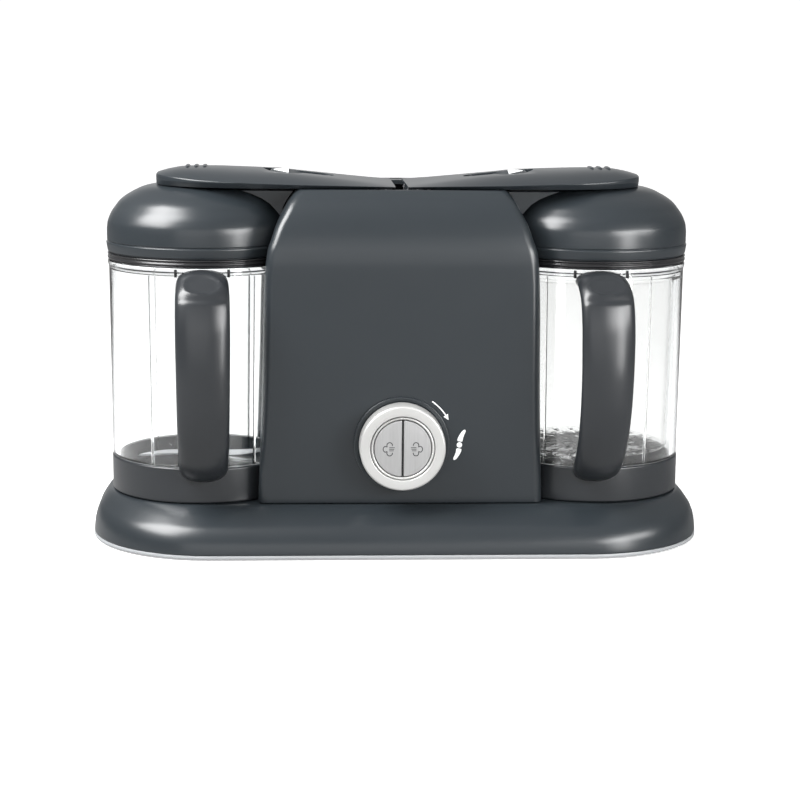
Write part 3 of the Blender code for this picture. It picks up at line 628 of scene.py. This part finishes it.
def tower_outline(height, inset=0.0):
    """The tower's section from the front's middle: rounded corners and a bay on each side for a jug."""
    half, front, back = tower_at(height)
    half, front, back = half - inset, front + inset, back - inset
    r_front, r_back, bay, lip = 6 - inset * 0.8, 24 - inset, POCKET_R + inset, max(0.5, 1.8 - inset * 0.4)
    lip_x = half - lip
    off = sqrt((bay + lip) ** 2 - (JUG_X - lip_x) ** 2)
    turn = degrees(atan2(off, JUG_X - lip_x))
    right = [(x, front) for x in span(0.0, half - r_front, 7)[:-1]]
    right += arc(half - r_front, front + r_front, r_front, -90, 0, 10)
    right += [(half, y) for y in span(front + r_front, JUG_Y - off, 4)[1:-1]]
    right += arc(lip_x, JUG_Y - off, lip, 0, turn, 6)
    right += arc(JUG_X, JUG_Y, bay, 180 + turn, 180 - turn, 30)[1:-1]
    right += arc(lip_x, JUG_Y + off, lip, -turn, 0, 6)
    right += [(half, y) for y in span(JUG_Y + off, back - r_back, 5)[1:-1]]
    right += arc(half - r_back, back - r_back, r_back, 0, 90, 14)
    right += [(x, back) for x in span(half - r_back, 0.0, 7)[1:]]
    return right + [(-x, y) for x, y in right[-2:0:-1]]


def tower_wall(name):
    """The whole tower as one open tube with a rounded rim at both ends."""
    heights = span(31.2, 181.0, 34) + span(182.5, 228.6, 36)
    rows = [(30.4, 0.8), (30.5, 0.4), (30.75, 0.12)] + [(z, 0.0) for z in heights]
    rows += [(229.2, 0.12), (229.5, 0.4), (229.7, 0.9)]
    rows += [(229.7, 2.6), (229.2, 3.0)] + [(z, 3.0) for z in span(226.0, 33.0, 40)]
    rows += [(30.8, 3.0), (30.4, 2.6)]
    return loft(name, [[(x, y, z) for x, y in tower_outline(z, inset)] for z, inset in rows], loop=True)


def make_tower():
    panel = keep_side(tower_wall("front_shell"), PANEL_END, front=True)
    combine(panel, bar("hole", 28.7, 40, 90, (0, 0, DIAL_Z), facing="front"))
    dress(panel, "charcoal", "housing", "front_panel")

    cover = keep_side(tower_wall("rear_shell"), COVER_START, front=False)
    for x in span(-32, 32, 5):
        slot = [(x + b, 85 + a) for a, b in stadium(-25, 25, 2)]
        combine(cover, prism("vent", slot, 70, 100, along="y"))
    dress(cover, "charcoal", "housing", "rear_cover")

    rows = [(226.6, 3.9), (226.8, 3.5), (228.9, 3.5), (229.25, 3.7), (229.4, 4.1)]
    deck = loft("deck", [[(x, y, z) for x, y in tower_outline(229.7, inset)] for z, inset in rows])
    for side in SIDES.values():
        mouth = [(0, 220), (19.4, 220), (19.4, 228.8), (19.9, 229.5), (19.9, 235), (0, 235)]
        combine(deck, turned("mouth", mouth, (side * BOILER_X, ARM_Y, 0)))
        combine(deck, slab("notch", (side * 60.5 - 8, -39.5, 220), (side * 60.5 + 8, -29, 235), 1.0))
    combine(deck, slab("trough", (-21.6, -52.6, 220), (21.6, 39, 235), 1.5))
    dress(deck, "charcoal", "housing", "top_deck")


make_tower()


# ---- arms ----
# (distance from the middle, height) of the arm's crest, its edges and the ramp of its inner half
CREST = [
    (4, 232.8), (39, 236.4), (64, 238.9), (77, 239.9), (103, 241.0), (124, 241.5), (138, 241.2),
    (148, 239.7), (157, 237.2),
]
EDGE = [(4, 231.2), (60, 232.4), (90, 233.3), (128, 234.7), (147, 236.0), (157, 236.5)]
RAMP = [
    (4, 231.4), (20, 233.1), (39, 235.3), (50, 236.5), (64, 238.0), (71, 239.2), (77, 243.0), (157, 290.0),
]
arm_crest, arm_edge, arm_ramp = through(CREST), through(EDGE), through(RAMP)
# half the arm's depth at its root and at its widest, where its end starts to round and how squarely
ROOT_HALF, ARM_HALF, ROUND_FROM, ROUND_POWER = 40.0, 45.0, 90.0, 2.2
# the thumb slide's slot: its two ends and half its width
SLOT_IN, SLOT_OUT, SLOT_HALF = 42.0, 88.0, 9.0
# how far the arm's side wall leans in towards its foot, and over which height
LEAN_IN, LEAN_UP = 2.4, 3.4
# the dish beside the slot's outer end: its middle along and across the arm, half its size, and its depth
DISH_AT, DISH_HALF, DISH_DEEP = (75, -5), (13, 16), 1.9
# how full the arm's top is across, and how far its tip's upper edge is rounded
CROWN_POWER, TIP_ROUND = 2.2, 1.6


def arm_half_width(u):
    """Half the arm's depth at a distance u from the middle: a tongue with a round end."""
    share = max(0.0, (u - ROUND_FROM) / (ARM_TIP - ROUND_FROM))
    round_end = ARM_HALF * max(0.0, 1 - share ** ROUND_POWER) ** (1 / ROUND_POWER)
    return min(ROOT_HALF + (ARM_HALF - ROOT_HALF) * min(1.0, (u - 4) / 67), round_end)


def arm_height(u, across):
    """Height of the arm's top. across runs from -1 at the front edge to 1 at the back edge."""
    edge, crest = arm_edge(u), arm_crest(u)
    crown = edge + (crest - edge) * (1 - abs(across) ** CROWN_POWER)
    height = lower_of(crown, arm_ramp(u))
    place = (u, across * arm_half_width(u))
    along, beside = (max(0.0, 1 - ((p - at) / half) ** 2) for p, at, half in zip(place, DISH_AT, DISH_HALF))
    height -= DISH_DEEP * along * beside
    left = ARM_TIP - u
    if left < TIP_ROUND:
        height -= TIP_ROUND - sqrt(TIP_ROUND ** 2 - (TIP_ROUND - left) ** 2)
    return height


def arm_section(side, u, sink=0.0, inset=0.0, bottom=230.0, count=45):
    """The arm's section at a distance from the middle, or the hollow's with a sink and an inset."""
    half = max(0.4, arm_half_width(u) - inset)
    lift = max(bottom + 0.4, arm_height(u, 1.0) - sink)
    foot, shoulder = max(0.3, half - LEAN_IN), min(bottom + LEAN_UP, lift - 0.2)
    flat = [(-foot, bottom, 0.35), (-half, shoulder, 0.3), (-half, lift, 0.8)]
    flat += [(half * t, max(arm_height(u, t) - sink, bottom + 0.4), 0.0) for t in span(-0.95, 0.95, count)]
    flat += [(half, lift, 0.8), (half, shoulder, 0.3), (foot, bottom, 0.35)]
    return [(side * u, ARM_Y + y, z) for y, z in soften(flat)]


def make_arm(name, side):
    tip = ARM_TIP - ROUND_FROM
    places = [4.0, 4.2, 4.6] + span(5.5, ROUND_FROM, 66)
    places += [ROUND_FROM + tip * sin(radians(a)) for a in span(1.5, 88.2, 46)]
    arm = loft(f"top_arm_{name}", [arm_section(side, u) for u in places])
    hollow = [arm_section(side, u, 2.2, 3.7, 228.0, 25) for u in span(50.5, 149.0, 34)]
    combine(arm, loft("room", hollow))
    slot = [(side * x, ARM_Y + y) for x, y in stadium(SLOT_IN, SLOT_OUT, SLOT_HALF)]
    combine(arm, prism("slot", slot, 225, 250))
    x = side * HINGE_X
    for y in (-44.5, -4.5):
        web = slab("web", (x - 4, y, HINGE_Z), (x + 4, y + 32, 230.8), 0.3)
        knuckle = soften([(0, 0, 0), (4.3, 0), (4.3, 32), (0, 32, 0)], 0.5)
        combine(arm, web, "UNION")
        combine(arm, turned("knuckle", knuckle, (x, y, HINGE_Z), 48, "back"), "UNION")
    combine(arm, bar("bore", 2.3, -60, 50, (x, 0, HINGE_Z), 32, "back"))
    dress(arm, "charcoal", f"arm_{name}", f"arm_{name}")

    ridges = []
    for u in (125.5, 131.0, 136.5):
        rings = []
        for t in span(-1.0, 1.0, 21):
            size = max(0.06, sqrt(max(0.0, 1 - t * t)))
            y = ARM_Y + 11 * t
            foot = arm_height(u, (y - ARM_Y) / arm_half_width(u)) - 0.35
            top = min(ARM_TOP - 0.05 - foot, 1.55)
            circle = arc(0, 0, 1.0, 0, 360, 17)[:-1]
            rings.append([(side * (u + 1.75 * size * c), y, foot + max(-0.3, top * size ** 0.6 * s))
                          for c, s in circle])
        ridges.append(loft("ridge", rings))
    dress(merge(f"grip_ridges_{name}", ridges), "charcoal", f"arm_{name}")


# the thumb slide's bowl: its middle, half its length, its depth
BOWL_AT, BOWL_HALF, BOWL_DEEP = 58, 12, 1.5
# how far the slide lies below the arm's top, and how much its outer end is raised and tilted to the front
SLIDE_SUNK, SLIDE_RAISE, SLIDE_TILT = 1.4, 0.5, 1.7


def make_latch(name, side):
    """The thumb slide in its slot: a shallow bowl with an arrow beside it, on a bar and a peg."""
    inner, outer, half = SLOT_IN + 0.6, SLOT_OUT - 4.6, SLOT_HALF - 0.6

    def top(u, across):
        bowl = BOWL_DEEP * max(0.0, 1 - ((u - BOWL_AT) / BOWL_HALF) ** 2) * (1 - across ** 2)
        share = min(1.0, max(0.0, (u - 60) / 10), max(0.0, (outer - u) / 1.6))
        sunk = max(0.0, SLIDE_SUNK - SLIDE_RAISE * share - SLIDE_TILT * share * across)
        return max(232.3, min(arm_ramp(u), arm_crest(u)) - bowl - sunk)

    rings = []
    for share in span(0.0, 1.0, 48):
        u = inner + (outer - inner) * (1 - cos(pi * share)) / 2
        gap = min(u - inner, outer - u, half)
        wide = max(0.5, sqrt(half ** 2 - (half - gap) ** 2))
        flat = [(-wide, 231.0, 0.2), (-wide, top(u, -wide / half), 0.3)]
        flat += [(wide * t, top(u, wide * t / half), 0.0) for t in span(-0.9, 0.9, 17)]
        flat += [(wide, top(u, wide / half), 0.3), (wide, 231.0, 0.2)]
        rings.append([(side * u, ARM_Y + y, z) for y, z in soften(flat)])
    latch = loft(f"thumb_slide_{name}", rings)
    combine(latch, slab("bar", (side * 55.0, -37.5, 230.8), (side * 61.0, -6, 232.2), 0.3), "UNION")
    combine(latch, slab("peg", (side * 55.4, -37.0, 217), (side * 58.9, -31.5, 231.5), 0.5), "UNION")
    dress(latch, "charcoal", f"latch_{name}", f"latch_{name}")

    arrow = soften([(71.6, -5.2), (81.3, 0.0), (71.6, 5.2)], 0.3)
    rings = [[(side * u, ARM_Y + y, top(u, y / half) + lift) for u, y in arrow] for lift in (-0.3, 0.4)]
    dress(loft(f"slide_arrow_{name}", rings), "charcoal", f"latch_{name}", paint=PRINT)


# (radius, height) down the outside of a lid's dome
LID_OUTSIDE = [
    (30.0, 229.6), (34.0, 229.0), (39.3, 227.4), (43.5, 225.4), (49.0, 222.2), (52.9, 219.0),
    (55.5, 215.7), (57.8, 212.5), (59.5, 209.2), (60.9, 204.7), (61.3, 199.5), (61.3, 190.6),
]
lid_radius = through([(-z, r) for r, z in LID_OUTSIDE])


def make_duct(name, side):
    """The steam duct between the boiler and the lid, hollowed to sit over the dome."""
    duct = slab(f"duct_{name}", (side * 66.0, -38.5, 207), (side * 109.0, 21.5, 228.2), 0.5)
    combine(duct, slab("neck", (side * 70.0, -31.0, 227.5), (side * 108.0, 14.0, 231), 0.4), "UNION")
    rows = [(z, z) for z in span(204.0, 229.7, 16)] + [(229.7, 232.0)]
    combine(duct, loft("shoulder", [[(x, y, z) for x, y in tower_outline(at, -0.9)] for at, z in rows]))
    places = span(71.5, 148.5, 40)
    edge = [(side * u, ARM_Y - arm_half_width(u) + 9.0) for u in places]
    edge += [(side * u, ARM_Y + arm_half_width(u) - 9.0) for u in reversed(places)]
    combine(duct, prism("cap", edge, 230.4, 231.9), "UNION")
    slot = [(side * x, ARM_Y + y) for x, y in stadium(SLOT_IN, SLOT_OUT, SLOT_HALF)]
    combine(duct, prism("slot", slot, 230.2, 240))
    room = [(0, LID_TOP + 0.6)] + [(r + 1.8, z + 0.6) for r, z in LID_OUTSIDE] + [(63.1, 180), (0, 180)]
    combine(duct, turned("room", room, (side * JUG_X, JUG_Y, 0)))
    dress(duct, "charcoal", f"arm_{name}", f"arm_duct_{name}")


# ---- boilers ----
def make_boiler(name, side):
    """The water cup and the plug in the arm that closes it."""
    at = (side * BOILER_X, ARM_Y, 0)
    cup = [
        (0, 166, 0), (15.2, 166, 2.0), (17.6, 168.5, 2.0), (17.6, 226.2), (21.8, 226.2, 0.5),
        (21.8, 224.8, 0.5), (19, 224.8, 0.8), (19, 168, 2.0), (16, 164.5, 2.0), (0, 164.5, 0),
    ]
    cup = turned(f"water_cup_{name}", soften(cup, 0.6), at)
    dress(cup, "steel", "housing", f"boiler_{name}")
    plug = [
        (0, 229.7, 0), (18.8, 229.7), (18.8, 228.6, 0.3), (18.2, 228.3, 0.3), (18.8, 227.9, 0.3),
        (18.8, 226.6), (16.3, 226.6), (16.1, 224.6, 0.2), (15.7, 224.3, 0.2), (16.0, 224.0, 0.2),
        (15.8, 221.5), (0, 221.5, 0),
    ]
    plug = turned(f"arm_plug_{name}", soften(plug, 0.5), at, steps=96)
    dress(plug, "seal", f"arm_{name}", f"boiler_seal_{name}")


# ---- lids ----
def make_lid(name, side):
    """The dome and its ribbed seal."""
    at = (side * JUG_X, JUG_Y, 0)
    dome = [(lid_radius(-z), z) for z in [229.6 - 25.1 * (i / 30) ** 1.4 for i in range(1, 31)]]
    lower = [
        (61.3, 201.0, 0), (61.3, 194.6, 0), (61.3, 194.1, 0.3), (60.8, 193.8, 0.2), (60.8, 193.4, 0.2),
        (61.6, 193.1, 0.3), (61.8, 192.4, 0.4), (61.0, 187.3, 0.3), (60.2, 187.0, 0.2), (60.2, 186.4, 0.2),
        (56.6, 186.4), (56.6, 180.4, 0.8), (54.6, 180.4, 0.8), (54.6, 187.0), (59.0, 190.0),
        (59.0, 204.0, 3.0), (53.5, 214.2, 4.0), (43.0, 222.6, 5.0), (28.0, 227.2, 5.0), (0, 227.4, 0),
    ]
    profile = [(0, 229.6), (24.0, 229.6)] + dome + soften(lower, 0.5)
    lid = turned(f"dome_{name}", profile, at, steps=160)
    dress(lid, "charcoal", f"lid_{name}", f"lid_{name}")
    seal = [
        (60.9, 186.1), (61.2, 185.4, 0.3), (60.5, 184.6, 0.3), (60.5, 184.2, 0.3), (61.2, 183.5, 0.4),
        (61.0, 182.6, 0.3), (60.3, 182.2, 0.2), (60.7, 181.7, 0.2), (60.2, 181.3), (57.0, 181.3),
        (57.0, 186.1),
    ]
    ring = turned(f"dome_seal_{name}", soften(seal, 0.3), at, steps=160)
    dress(ring, "seal", f"lid_{name}", f"lid_seal_{name}")


# ---- jugs ----
# the handle from rim to collar: radius and height of its outer line and its inner line, and its width
HANDLE = [
    (56.0, 181.0, 56.0, 167.0, 31.0), (70.0, 181.3, 69.0, 166.5, 32.0), (80.0, 178.8, 75.5, 163.5, 33.0),
    (90.0, 171.5, 80.5, 157.5, 33.6), (94.6, 159.5, 83.4, 148.5, 33.8), (97.6, 144.0, 84.4, 138.0, 33.8),
    (99.0, 122.0, 84.4, 122.0, 33.4), (97.6, 101.0, 83.2, 104.5, 33.0), (94.0, 82.0, 80.0, 89.0, 32.6),
    (87.6, 65.5, 75.0, 76.5, 32.0), (78.5, 53.0, 69.0, 67.5, 31.4), (69.0, 46.5, 64.5, 62.5, 30.6),
    (56.0, 43.0, 56.0, 59.0, 29.0),
]
handle_at = through([(place, *row) for place, row in enumerate(HANDLE)])
# how far each handle is turned towards the middle, in degrees
HANDLE_TURN = 2.3
# how far its outer part is turned back outwards, in degrees, and the radius where that starts
HANDLE_SWING = {-1: (0.0, 80.0), 1: (8.0, 74.0)}
# what share of that the inner part takes, how square the section is, how much it is thinned
HANDLE_GIVE, HANDLE_SQUARE, HANDLE_INSET = 0.35, 0.94, 0.45
# the thumb dish: its place, half its length along and its share of the width, its depth
THUMB_AT, THUMB_LONG, THUMB_WIDE, THUMB_DEEP = 2.45, 0.72, 0.66, 2.4
# the curved step below it: its place, how much lower it is in the middle, its length and height
STEP_AT, STEP_BOW, STEP_LONG, STEP_HIGH = 3.35, 0.3, 0.14, 0.9


def handle_ring(place, side, count=56):
    """A section of the handle, with the thumb dish and the step below it."""
    out_r, out_z, in_r, in_z, width = handle_at(place)
    outer, inner = Vector((out_r, out_z)), Vector((in_r, in_z))
    centre, arm = (outer + inner) / 2, (outer - inner) / 2
    heading = radians(-90 - side * HANDLE_TURN)
    ahead = Vector((cos(heading), sin(heading)))
    swing, pivot = HANDLE_SWING[side]
    heading += radians(swing)
    beyond = Vector((cos(heading), sin(heading)))
    across = Vector((-beyond.y, beyond.x))
    found = []
    for i in range(count):
        turn = 2 * pi * i / count
        c, s = cos(turn), sin(turn)
        c, s = copysign(abs(c) ** HANDLE_SQUARE, c), copysign(abs(s) ** HANDLE_SQUARE, s)
        rise = 0.0
        if c > 0:
            oval = ((place - THUMB_AT) / THUMB_LONG) ** 2 + (s / THUMB_WIDE) ** 2
            rise -= THUMB_DEEP * sqrt(max(0.0, 1 - oval))
            past = (place - STEP_AT - STEP_BOW * (1 - s * s)) / STEP_LONG
            fade = exp(-max(0.0, place - 3.6) / 1.6)
            rise += STEP_HIGH / (1 + exp(-4 * past)) * fade * c
            rise -= HANDLE_INSET
        point = centre + arm * c + arm.normalized() * rise
        flat = ahead * min(point.x, pivot) + beyond * max(0.0, point.x - pivot) + across * (width / 2 * s)
        flat += (beyond - ahead) * (HANDLE_GIVE * min(0.0, point.x - pivot))
        found.append((side * JUG_X + flat.x, JUG_Y + flat.y, point.y))
    return found


def make_jug(name, side):
    """The clear vessel with its ribs, the collar, the handle and the tabs beside it."""
    at = (side * JUG_X, JUG_Y, 0)
    outside = [
        (60.9, 181.0, 0.5), (60.9, 179.0, 0.3), (60.4, 177.6, 0.4), (60.2, 176.6, 0.4), (59.4, 53.6, 0.4),
        (57.2, 53.5, 0.3), (57.2, 37.0, 3.0), (54.0, 33.5, 2.0), (15.0, 33.5), (15.0, 45.5), (5.5, 46.0),
        (5.5, 48.5, 0.5), (16.5, 48.5, 1.5), (18.5, 36.0, 2.0), (52.0, 36.0, 2.5), (55.0, 39.0, 2.5),
        (57.3, 175.9, 0.3), (58.5, 176.4, 0.3), (58.5, 181.0, 0.5),
    ]
    vessel = turned(f"vessel_{name}", soften(outside), at, steps=160)
    for turn in (-125, -55, 55, 125):
        lean = radians(turn - side * HANDLE_TURN)
        axis = Vector((cos(lean), sin(lean)))
        flat = Vector((-axis.y, axis.x))
        rings = []
        for z, r in ((44, 54.4), (100, 55.4), (175.2, 57.0)):
            ring = []
            for way, deep in ((-0.45, 0.9), (0.45, 0.9), (0.3, -0.8), (-0.3, -0.8)):
                spot = axis * (r + deep) + flat * way
                ring.append((at[0] + spot.x, at[1] + spot.y, z))
            rings.append(ring)
        combine(vessel, loft("rib", rings), "UNION")
    dress(vessel, "clear_plastic", f"jug_{name}", f"jug_vessel_{name}")

    collar = [
        (57.5, 53.2, 0.3), (59.2, 53.2, 0.6), (59.8, 52.4, 0.5), (59.8, 31.2, 0.5), (59.0, 30.4, 0.5),
        (57.0, 30.4), (57.0, 28.7), (50.0, 28.7), (50.0, 31.0), (57.5, 31.2),
    ]
    ring = turned(f"collar_{name}", soften(collar, 0.3), at, steps=160)
    dress(ring, "grey_plastic", f"jug_{name}", f"jug_collar_{name}")

    handle = loft(f"handle_{name}", [handle_ring(p, side) for p in span(0.0, 12.0, 121)])
    combine(handle, bar("room", 61.5, 20, 200, at, 160))
    tabs = []
    for way in (-1, 1):
        lean = radians(-90 - side * HANDLE_TURN + way * 15.5)
        spot = Vector((cos(lean), sin(lean))) * 61.9
        x, y = at[0] + spot.x, at[1] + spot.y
        tabs.append(slab("tab", (x - 0.9, y - 0.7, 175.6), (x + 0.9, y + 0.7, 180.6), 0.3))
    dress(handle, "grey_plastic", f"jug_{name}", f"jug_handle_{name}")
    dress(merge(f"rim_tabs_{name}", tabs), "seal", f"jug_{name}")


def make_blade(name, side):
    """The blade's hub and its two curved wings."""
    at = (side * JUG_X, JUG_Y, 0)
    hub = [
        (0, 57.3, 0), (5.5, 57.3, 1.5), (8.8, 55.8, 1.5), (9.3, 53.6), (5.0, 53.6), (5.0, 51.6),
        (9.5, 51.6, 0.6), (10.5, 48.9), (4.6, 48.9), (4.6, 45.1), (0, 45.1, 0),
    ]
    hub = turned(f"hub_{name}", soften(hub, 0.4), at, steps=72)
    dress(hub, "grey_plastic", f"blade_{name}", f"blade_hub_{name}")
    wings = []
    for way in (1, -1):
        rings = []
        for share in span(0.0, 1.0, 26):
            along = 6.2 + 35.6 * share
            bend = 9.0 * share ** 2.2 - 3.0 * sin(pi * share)
            wide = 7.2 * (1 - share ** 3) ** 0.5 + 0.25
            grind = -wide + 2.2
            cross = [(-wide, 0.55), (grind, 1.1), (wide, 1.1), (wide, 0.0), (grind, 0.0), (-wide, 0.45)]
            rings.append([(at[0] + way * along, at[1] + way * (bend + y), 52.05 + z) for y, z in cross])
        wings.append(loft("wing", rings))
    dress(merge(f"knife_{name}", wings), "steel", f"blade_{name}", f"blade_{name}")


def make_basket(name, side):
    """The steaming basket, with three rings of slots in its floor."""
    at = (side * JUG_X, JUG_Y, 0)
    basket = [
        (0, 60.4, 0), (50.0, 60.4, 1.5), (51.4, 62.0, 1.5), (53.4, 168.0, 1.0), (55.0, 173.4, 0.8),
        (57.8, 173.4, 0.5), (57.8, 171.6, 0.5), (55.4, 171.0, 0.6), (54.9, 168.0, 0.8), (52.8, 60.8, 1.5),
        (50.8, 58.6, 1.5), (0, 58.6, 0),
    ]
    body = turned(f"basket_{name}", soften(basket, 0.5), at, steps=144)
    cuts = []
    for count, radius, length in ((24, 42.0, 8.0), (16, 28.0, 8.0), (8, 14.0, 7.0)):
        for i in range(count):
            lean = 2 * pi * (i + 0.5) / count
            flat = [(x * cos(lean) - y * sin(lean), x * sin(lean) + y * cos(lean))
                    for x, y in stadium(radius - length / 2, radius + length / 2, 1.1, 7)]
            cuts.append(prism("cut", [(at[0] + x, at[1] + y) for x, y in flat], 55, 65))
    combine(body, merge("cuts", cuts))
    dress(body, "smoke_plastic", f"jug_{name}", f"steam_basket_{name}")


for name, side in SIDES.items():
    for make in (make_arm, make_latch, make_duct, make_boiler, make_lid, make_jug, make_blade):
        make(name, side)
make_basket("right", 1)


# ---- dial ----
BUTTON_X = 9.0
# radius of the panel's curved arrow, middle of its blade sign
ARROW_R, SIGN_X, SIGN_Z = 33.5, 37.0, 69.0


def half_moon(side, radius, split, steps=48):
    """Half a disc beside the split, as (x, z) from the dial's middle."""
    lean = degrees(acos(split / radius))
    flat = arc(0, 0, radius, -lean, lean, steps)
    ends = [(side * split, flat[-1][1], 0.5), (side * split, flat[0][1], 0.5)]
    return soften([(side * x, z, 0.0) for x, z in flat[1:-1]] + ends)


def stroke(points, width, y_low, y_high):
    """A drawn line of a given width as a thin solid facing the front. Points are (x, z)."""
    spots = [Vector(p) for p in points]
    rings = []
    for before, spot, after in zip([spots[0], *spots], spots, [*spots[1:], spots[-1]]):
        way = (after - before).normalized()
        off = Vector((-way.y, way.x)) * width / 2
        left, right = spot + off, spot - off
        corners = ((left, y_low), (right, y_low), (right, y_high), (left, y_high))
        rings.append([(edge.x, y(edge.y), edge.y) for edge, y in corners])
    return loft("stroke", rings)


def fill(points, y_low, y_high):
    """A drawn patch as a thin solid facing the front."""
    return loft("fill", [[(x, y(z), z) for x, z in points] for y in (y_low, y_high)])


def make_dial():
    at = (0, 0, DIAL_Z)
    bezel = [
        (30.4, 71.9, 0.3), (30.4, 70.9, 0.1), (28.1, 70.9, 0.1), (28.1, 62.0), (26.3, 62.0),
        (26.3, 71.2, 0.5), (29.8, 72.1, 0.3),
    ]
    bezel = turned("bezel", soften(bezel, 0.3), at, facing="front")
    dress(bezel, "charcoal", "housing", "dial_bezel")
    ring = [
        (20.4, 85.4, 0.3), (20.8, 86.2, 0.3), (26.2, 86.3, 0.5), (27.1, 85.4, 0.7), (27.3, 72.5, 0.5),
        (25.5, 72.5), (25.5, 57.0), (20.4, 57.0),
    ]
    ring = turned("speed_ring", soften(ring, 0.3), at, facing="front", steps=192)
    dress(ring, "bright_chrome", "dial", "dial_ring")
    cup = [
        (0, 77.0, 0), (18.55, 77.0, 0.3), (18.55, 85.3, 0.3), (19.2, 85.7, 0.3), (20.0, 85.3, 0.3),
        (20.0, 47.9, 0.3), (17.5, 47.9, 0.3), (17.5, 54.0, 0.3), (0, 54.0, 0),
    ]
    cup = turned("button_rim", soften(cup), at, facing="front", steps=160)
    for side in SIDES.values():
        combine(cup, bar("hole", 2.6, 50, 90, (side * BUTTON_X, 0, DIAL_Z), 32, "front"))
    dress(cup, "bright_chrome", "housing", "button_cup")
    # a black plate in the split between the half buttons: painted shade for the dark gap there
    split_shade = slab("painted_split_shade", (-0.42, -84.6, DIAL_Z - 17.6), (0.42, -76.5, DIAL_Z + 17.6), 0.1)
    dress(split_shade, "charcoal", "housing", paint=SEAL)
    for name, side in SIDES.items():
        rows = [
            (79.5, 18.1, 0.6), (84.5, 18.1, 0.6), (84.85, 17.95, 0.72), (85.05, 17.75, 0.92),
            (85.1, 17.4, 1.2),
        ]
        rings = [[(x, -d, DIAL_Z + z) for x, z in half_moon(side, r, split)] for d, r, split in rows]
        button = loft(f"half_button_{name}", rings)
        stem = bar("stem", 2.0, 52.3, 80, (side * BUTTON_X, 0, DIAL_Z), 24, "front")
        combine(button, stem, "UNION")
        dress(button, "satin_metal", f"steam_button_{name}", f"steam_button_{name}")
        make_steam_icon(name, side)


def make_steam_icon(name, side):
    """A cloud of three lobes with three puffs towards the split."""
    x, z = side * 8.3, DIAL_Z - 0.4
    lobes = arc(0, 2.5, 1.75, 190, -35, 14) + arc(2.0, 0, 2.1, 62, -62, 12)
    lobes += arc(0, -2.5, 1.75, 35, -190, 14)

    def foot(_):
        return -85.0

    def face(_):
        return -85.16

    marks = [stroke([(x + side * a, z + b) for a, b in lobes], 0.58, foot, face)]
    for rise in (-1.0, 0.0, 1.0):
        line = [(x + side * a, z + rise) for a in (0.3, -2.9 - 0.3 * rise)]
        marks.append(stroke(line, 0.42, foot, face))
    dress(merge(f"steam_icon_{name}", marks), "satin_metal", f"steam_button_{name}", paint=ICON)


def make_panel_prints():
    """The panel's curved arrow beside the dial and the S-shaped blade sign below it."""
    def skin(z):
        return tower_at(z)[1] + 0.05

    def face(z):
        return tower_at(z)[1] - 0.08

    bend = arc(0, DIAL_Z, ARROW_R, 55, 33, 16)
    corners = ((ARROW_R + 1.7, 33.5), (ARROW_R - 1.7, 33.5), (ARROW_R, 27.5))
    head = [arc(0, DIAL_Z, radius, turn, turn, 2)[0] for radius, turn in corners]
    arrow = [stroke(bend, 0.75, skin, face), fill(head, skin, face)]
    dress(merge("turn_arrow", arrow), "charcoal", "housing", paint=PRINT)

    hub = [(SIGN_X + a, SIGN_Z + b) for a, b in arc(0, 0, 1.75, 0, 345, 24)]
    marks = [fill(hub, skin, face)]
    for way in (1, -1):
        outer = [(2.3, 2.1), (2.5, 4.4), (3.4, 7.0), (4.5, 9.2), (3.6, 10.2)]
        inner = [(1.9, 9.0), (0.1, 6.4), (-1.0, 4.2), (-1.3, 2.6)]
        wing = soften([(a * 0.95 - 0.25, b) for a, b in outer + inner], 0.9)
        marks.append(fill([(SIGN_X + way * a, SIGN_Z + way * b) for a, b in wing], skin, face))
    dress(merge("blend_mark", marks), "charcoal", "housing", paint=PRINT)


make_dial()
make_panel_prints()


# ---- small pieces ----
def make_small():
    """The gland for the cord and the two hinge pins."""
    gland = middle("cord_gland")
    sleeve = [(3.5, 91.0), (3.5, 105.5), (5.2, 105.5, 0.5)]
    for y in (103.5, 101.0, 98.5, 96.0):
        sleeve += [(5.3, y + 0.9, 0.2), (4.7, y + 0.4, 0.2), (4.7, y - 0.4, 0.2), (5.6, y - 0.9, 0.2)]
    sleeve += [(6.4, 94.2, 0.4), (6.4, 91.0)]
    piece = turned("gland_sleeve", soften(sleeve, 0.3), (gland.x, 0, gland.z), steps=48, facing="back")
    dress(piece, "rubber", "housing", "cord_gland")
    for name, side in SIDES.items():
        low, high = reach(f"hinge_pin_{name}")
        pin = [(0, low.y, 0), (2.0, low.y, 0.4), (2.0, high.y, 0.4), (0, high.y, 0)]
        at = (side * HINGE_X, 0, HINGE_Z)
        piece = turned(f"pin_{name}", soften(pin, 0.4), at, 32, "back")
        dress(piece, "steel", "housing", f"hinge_pin_{name}")


make_small()
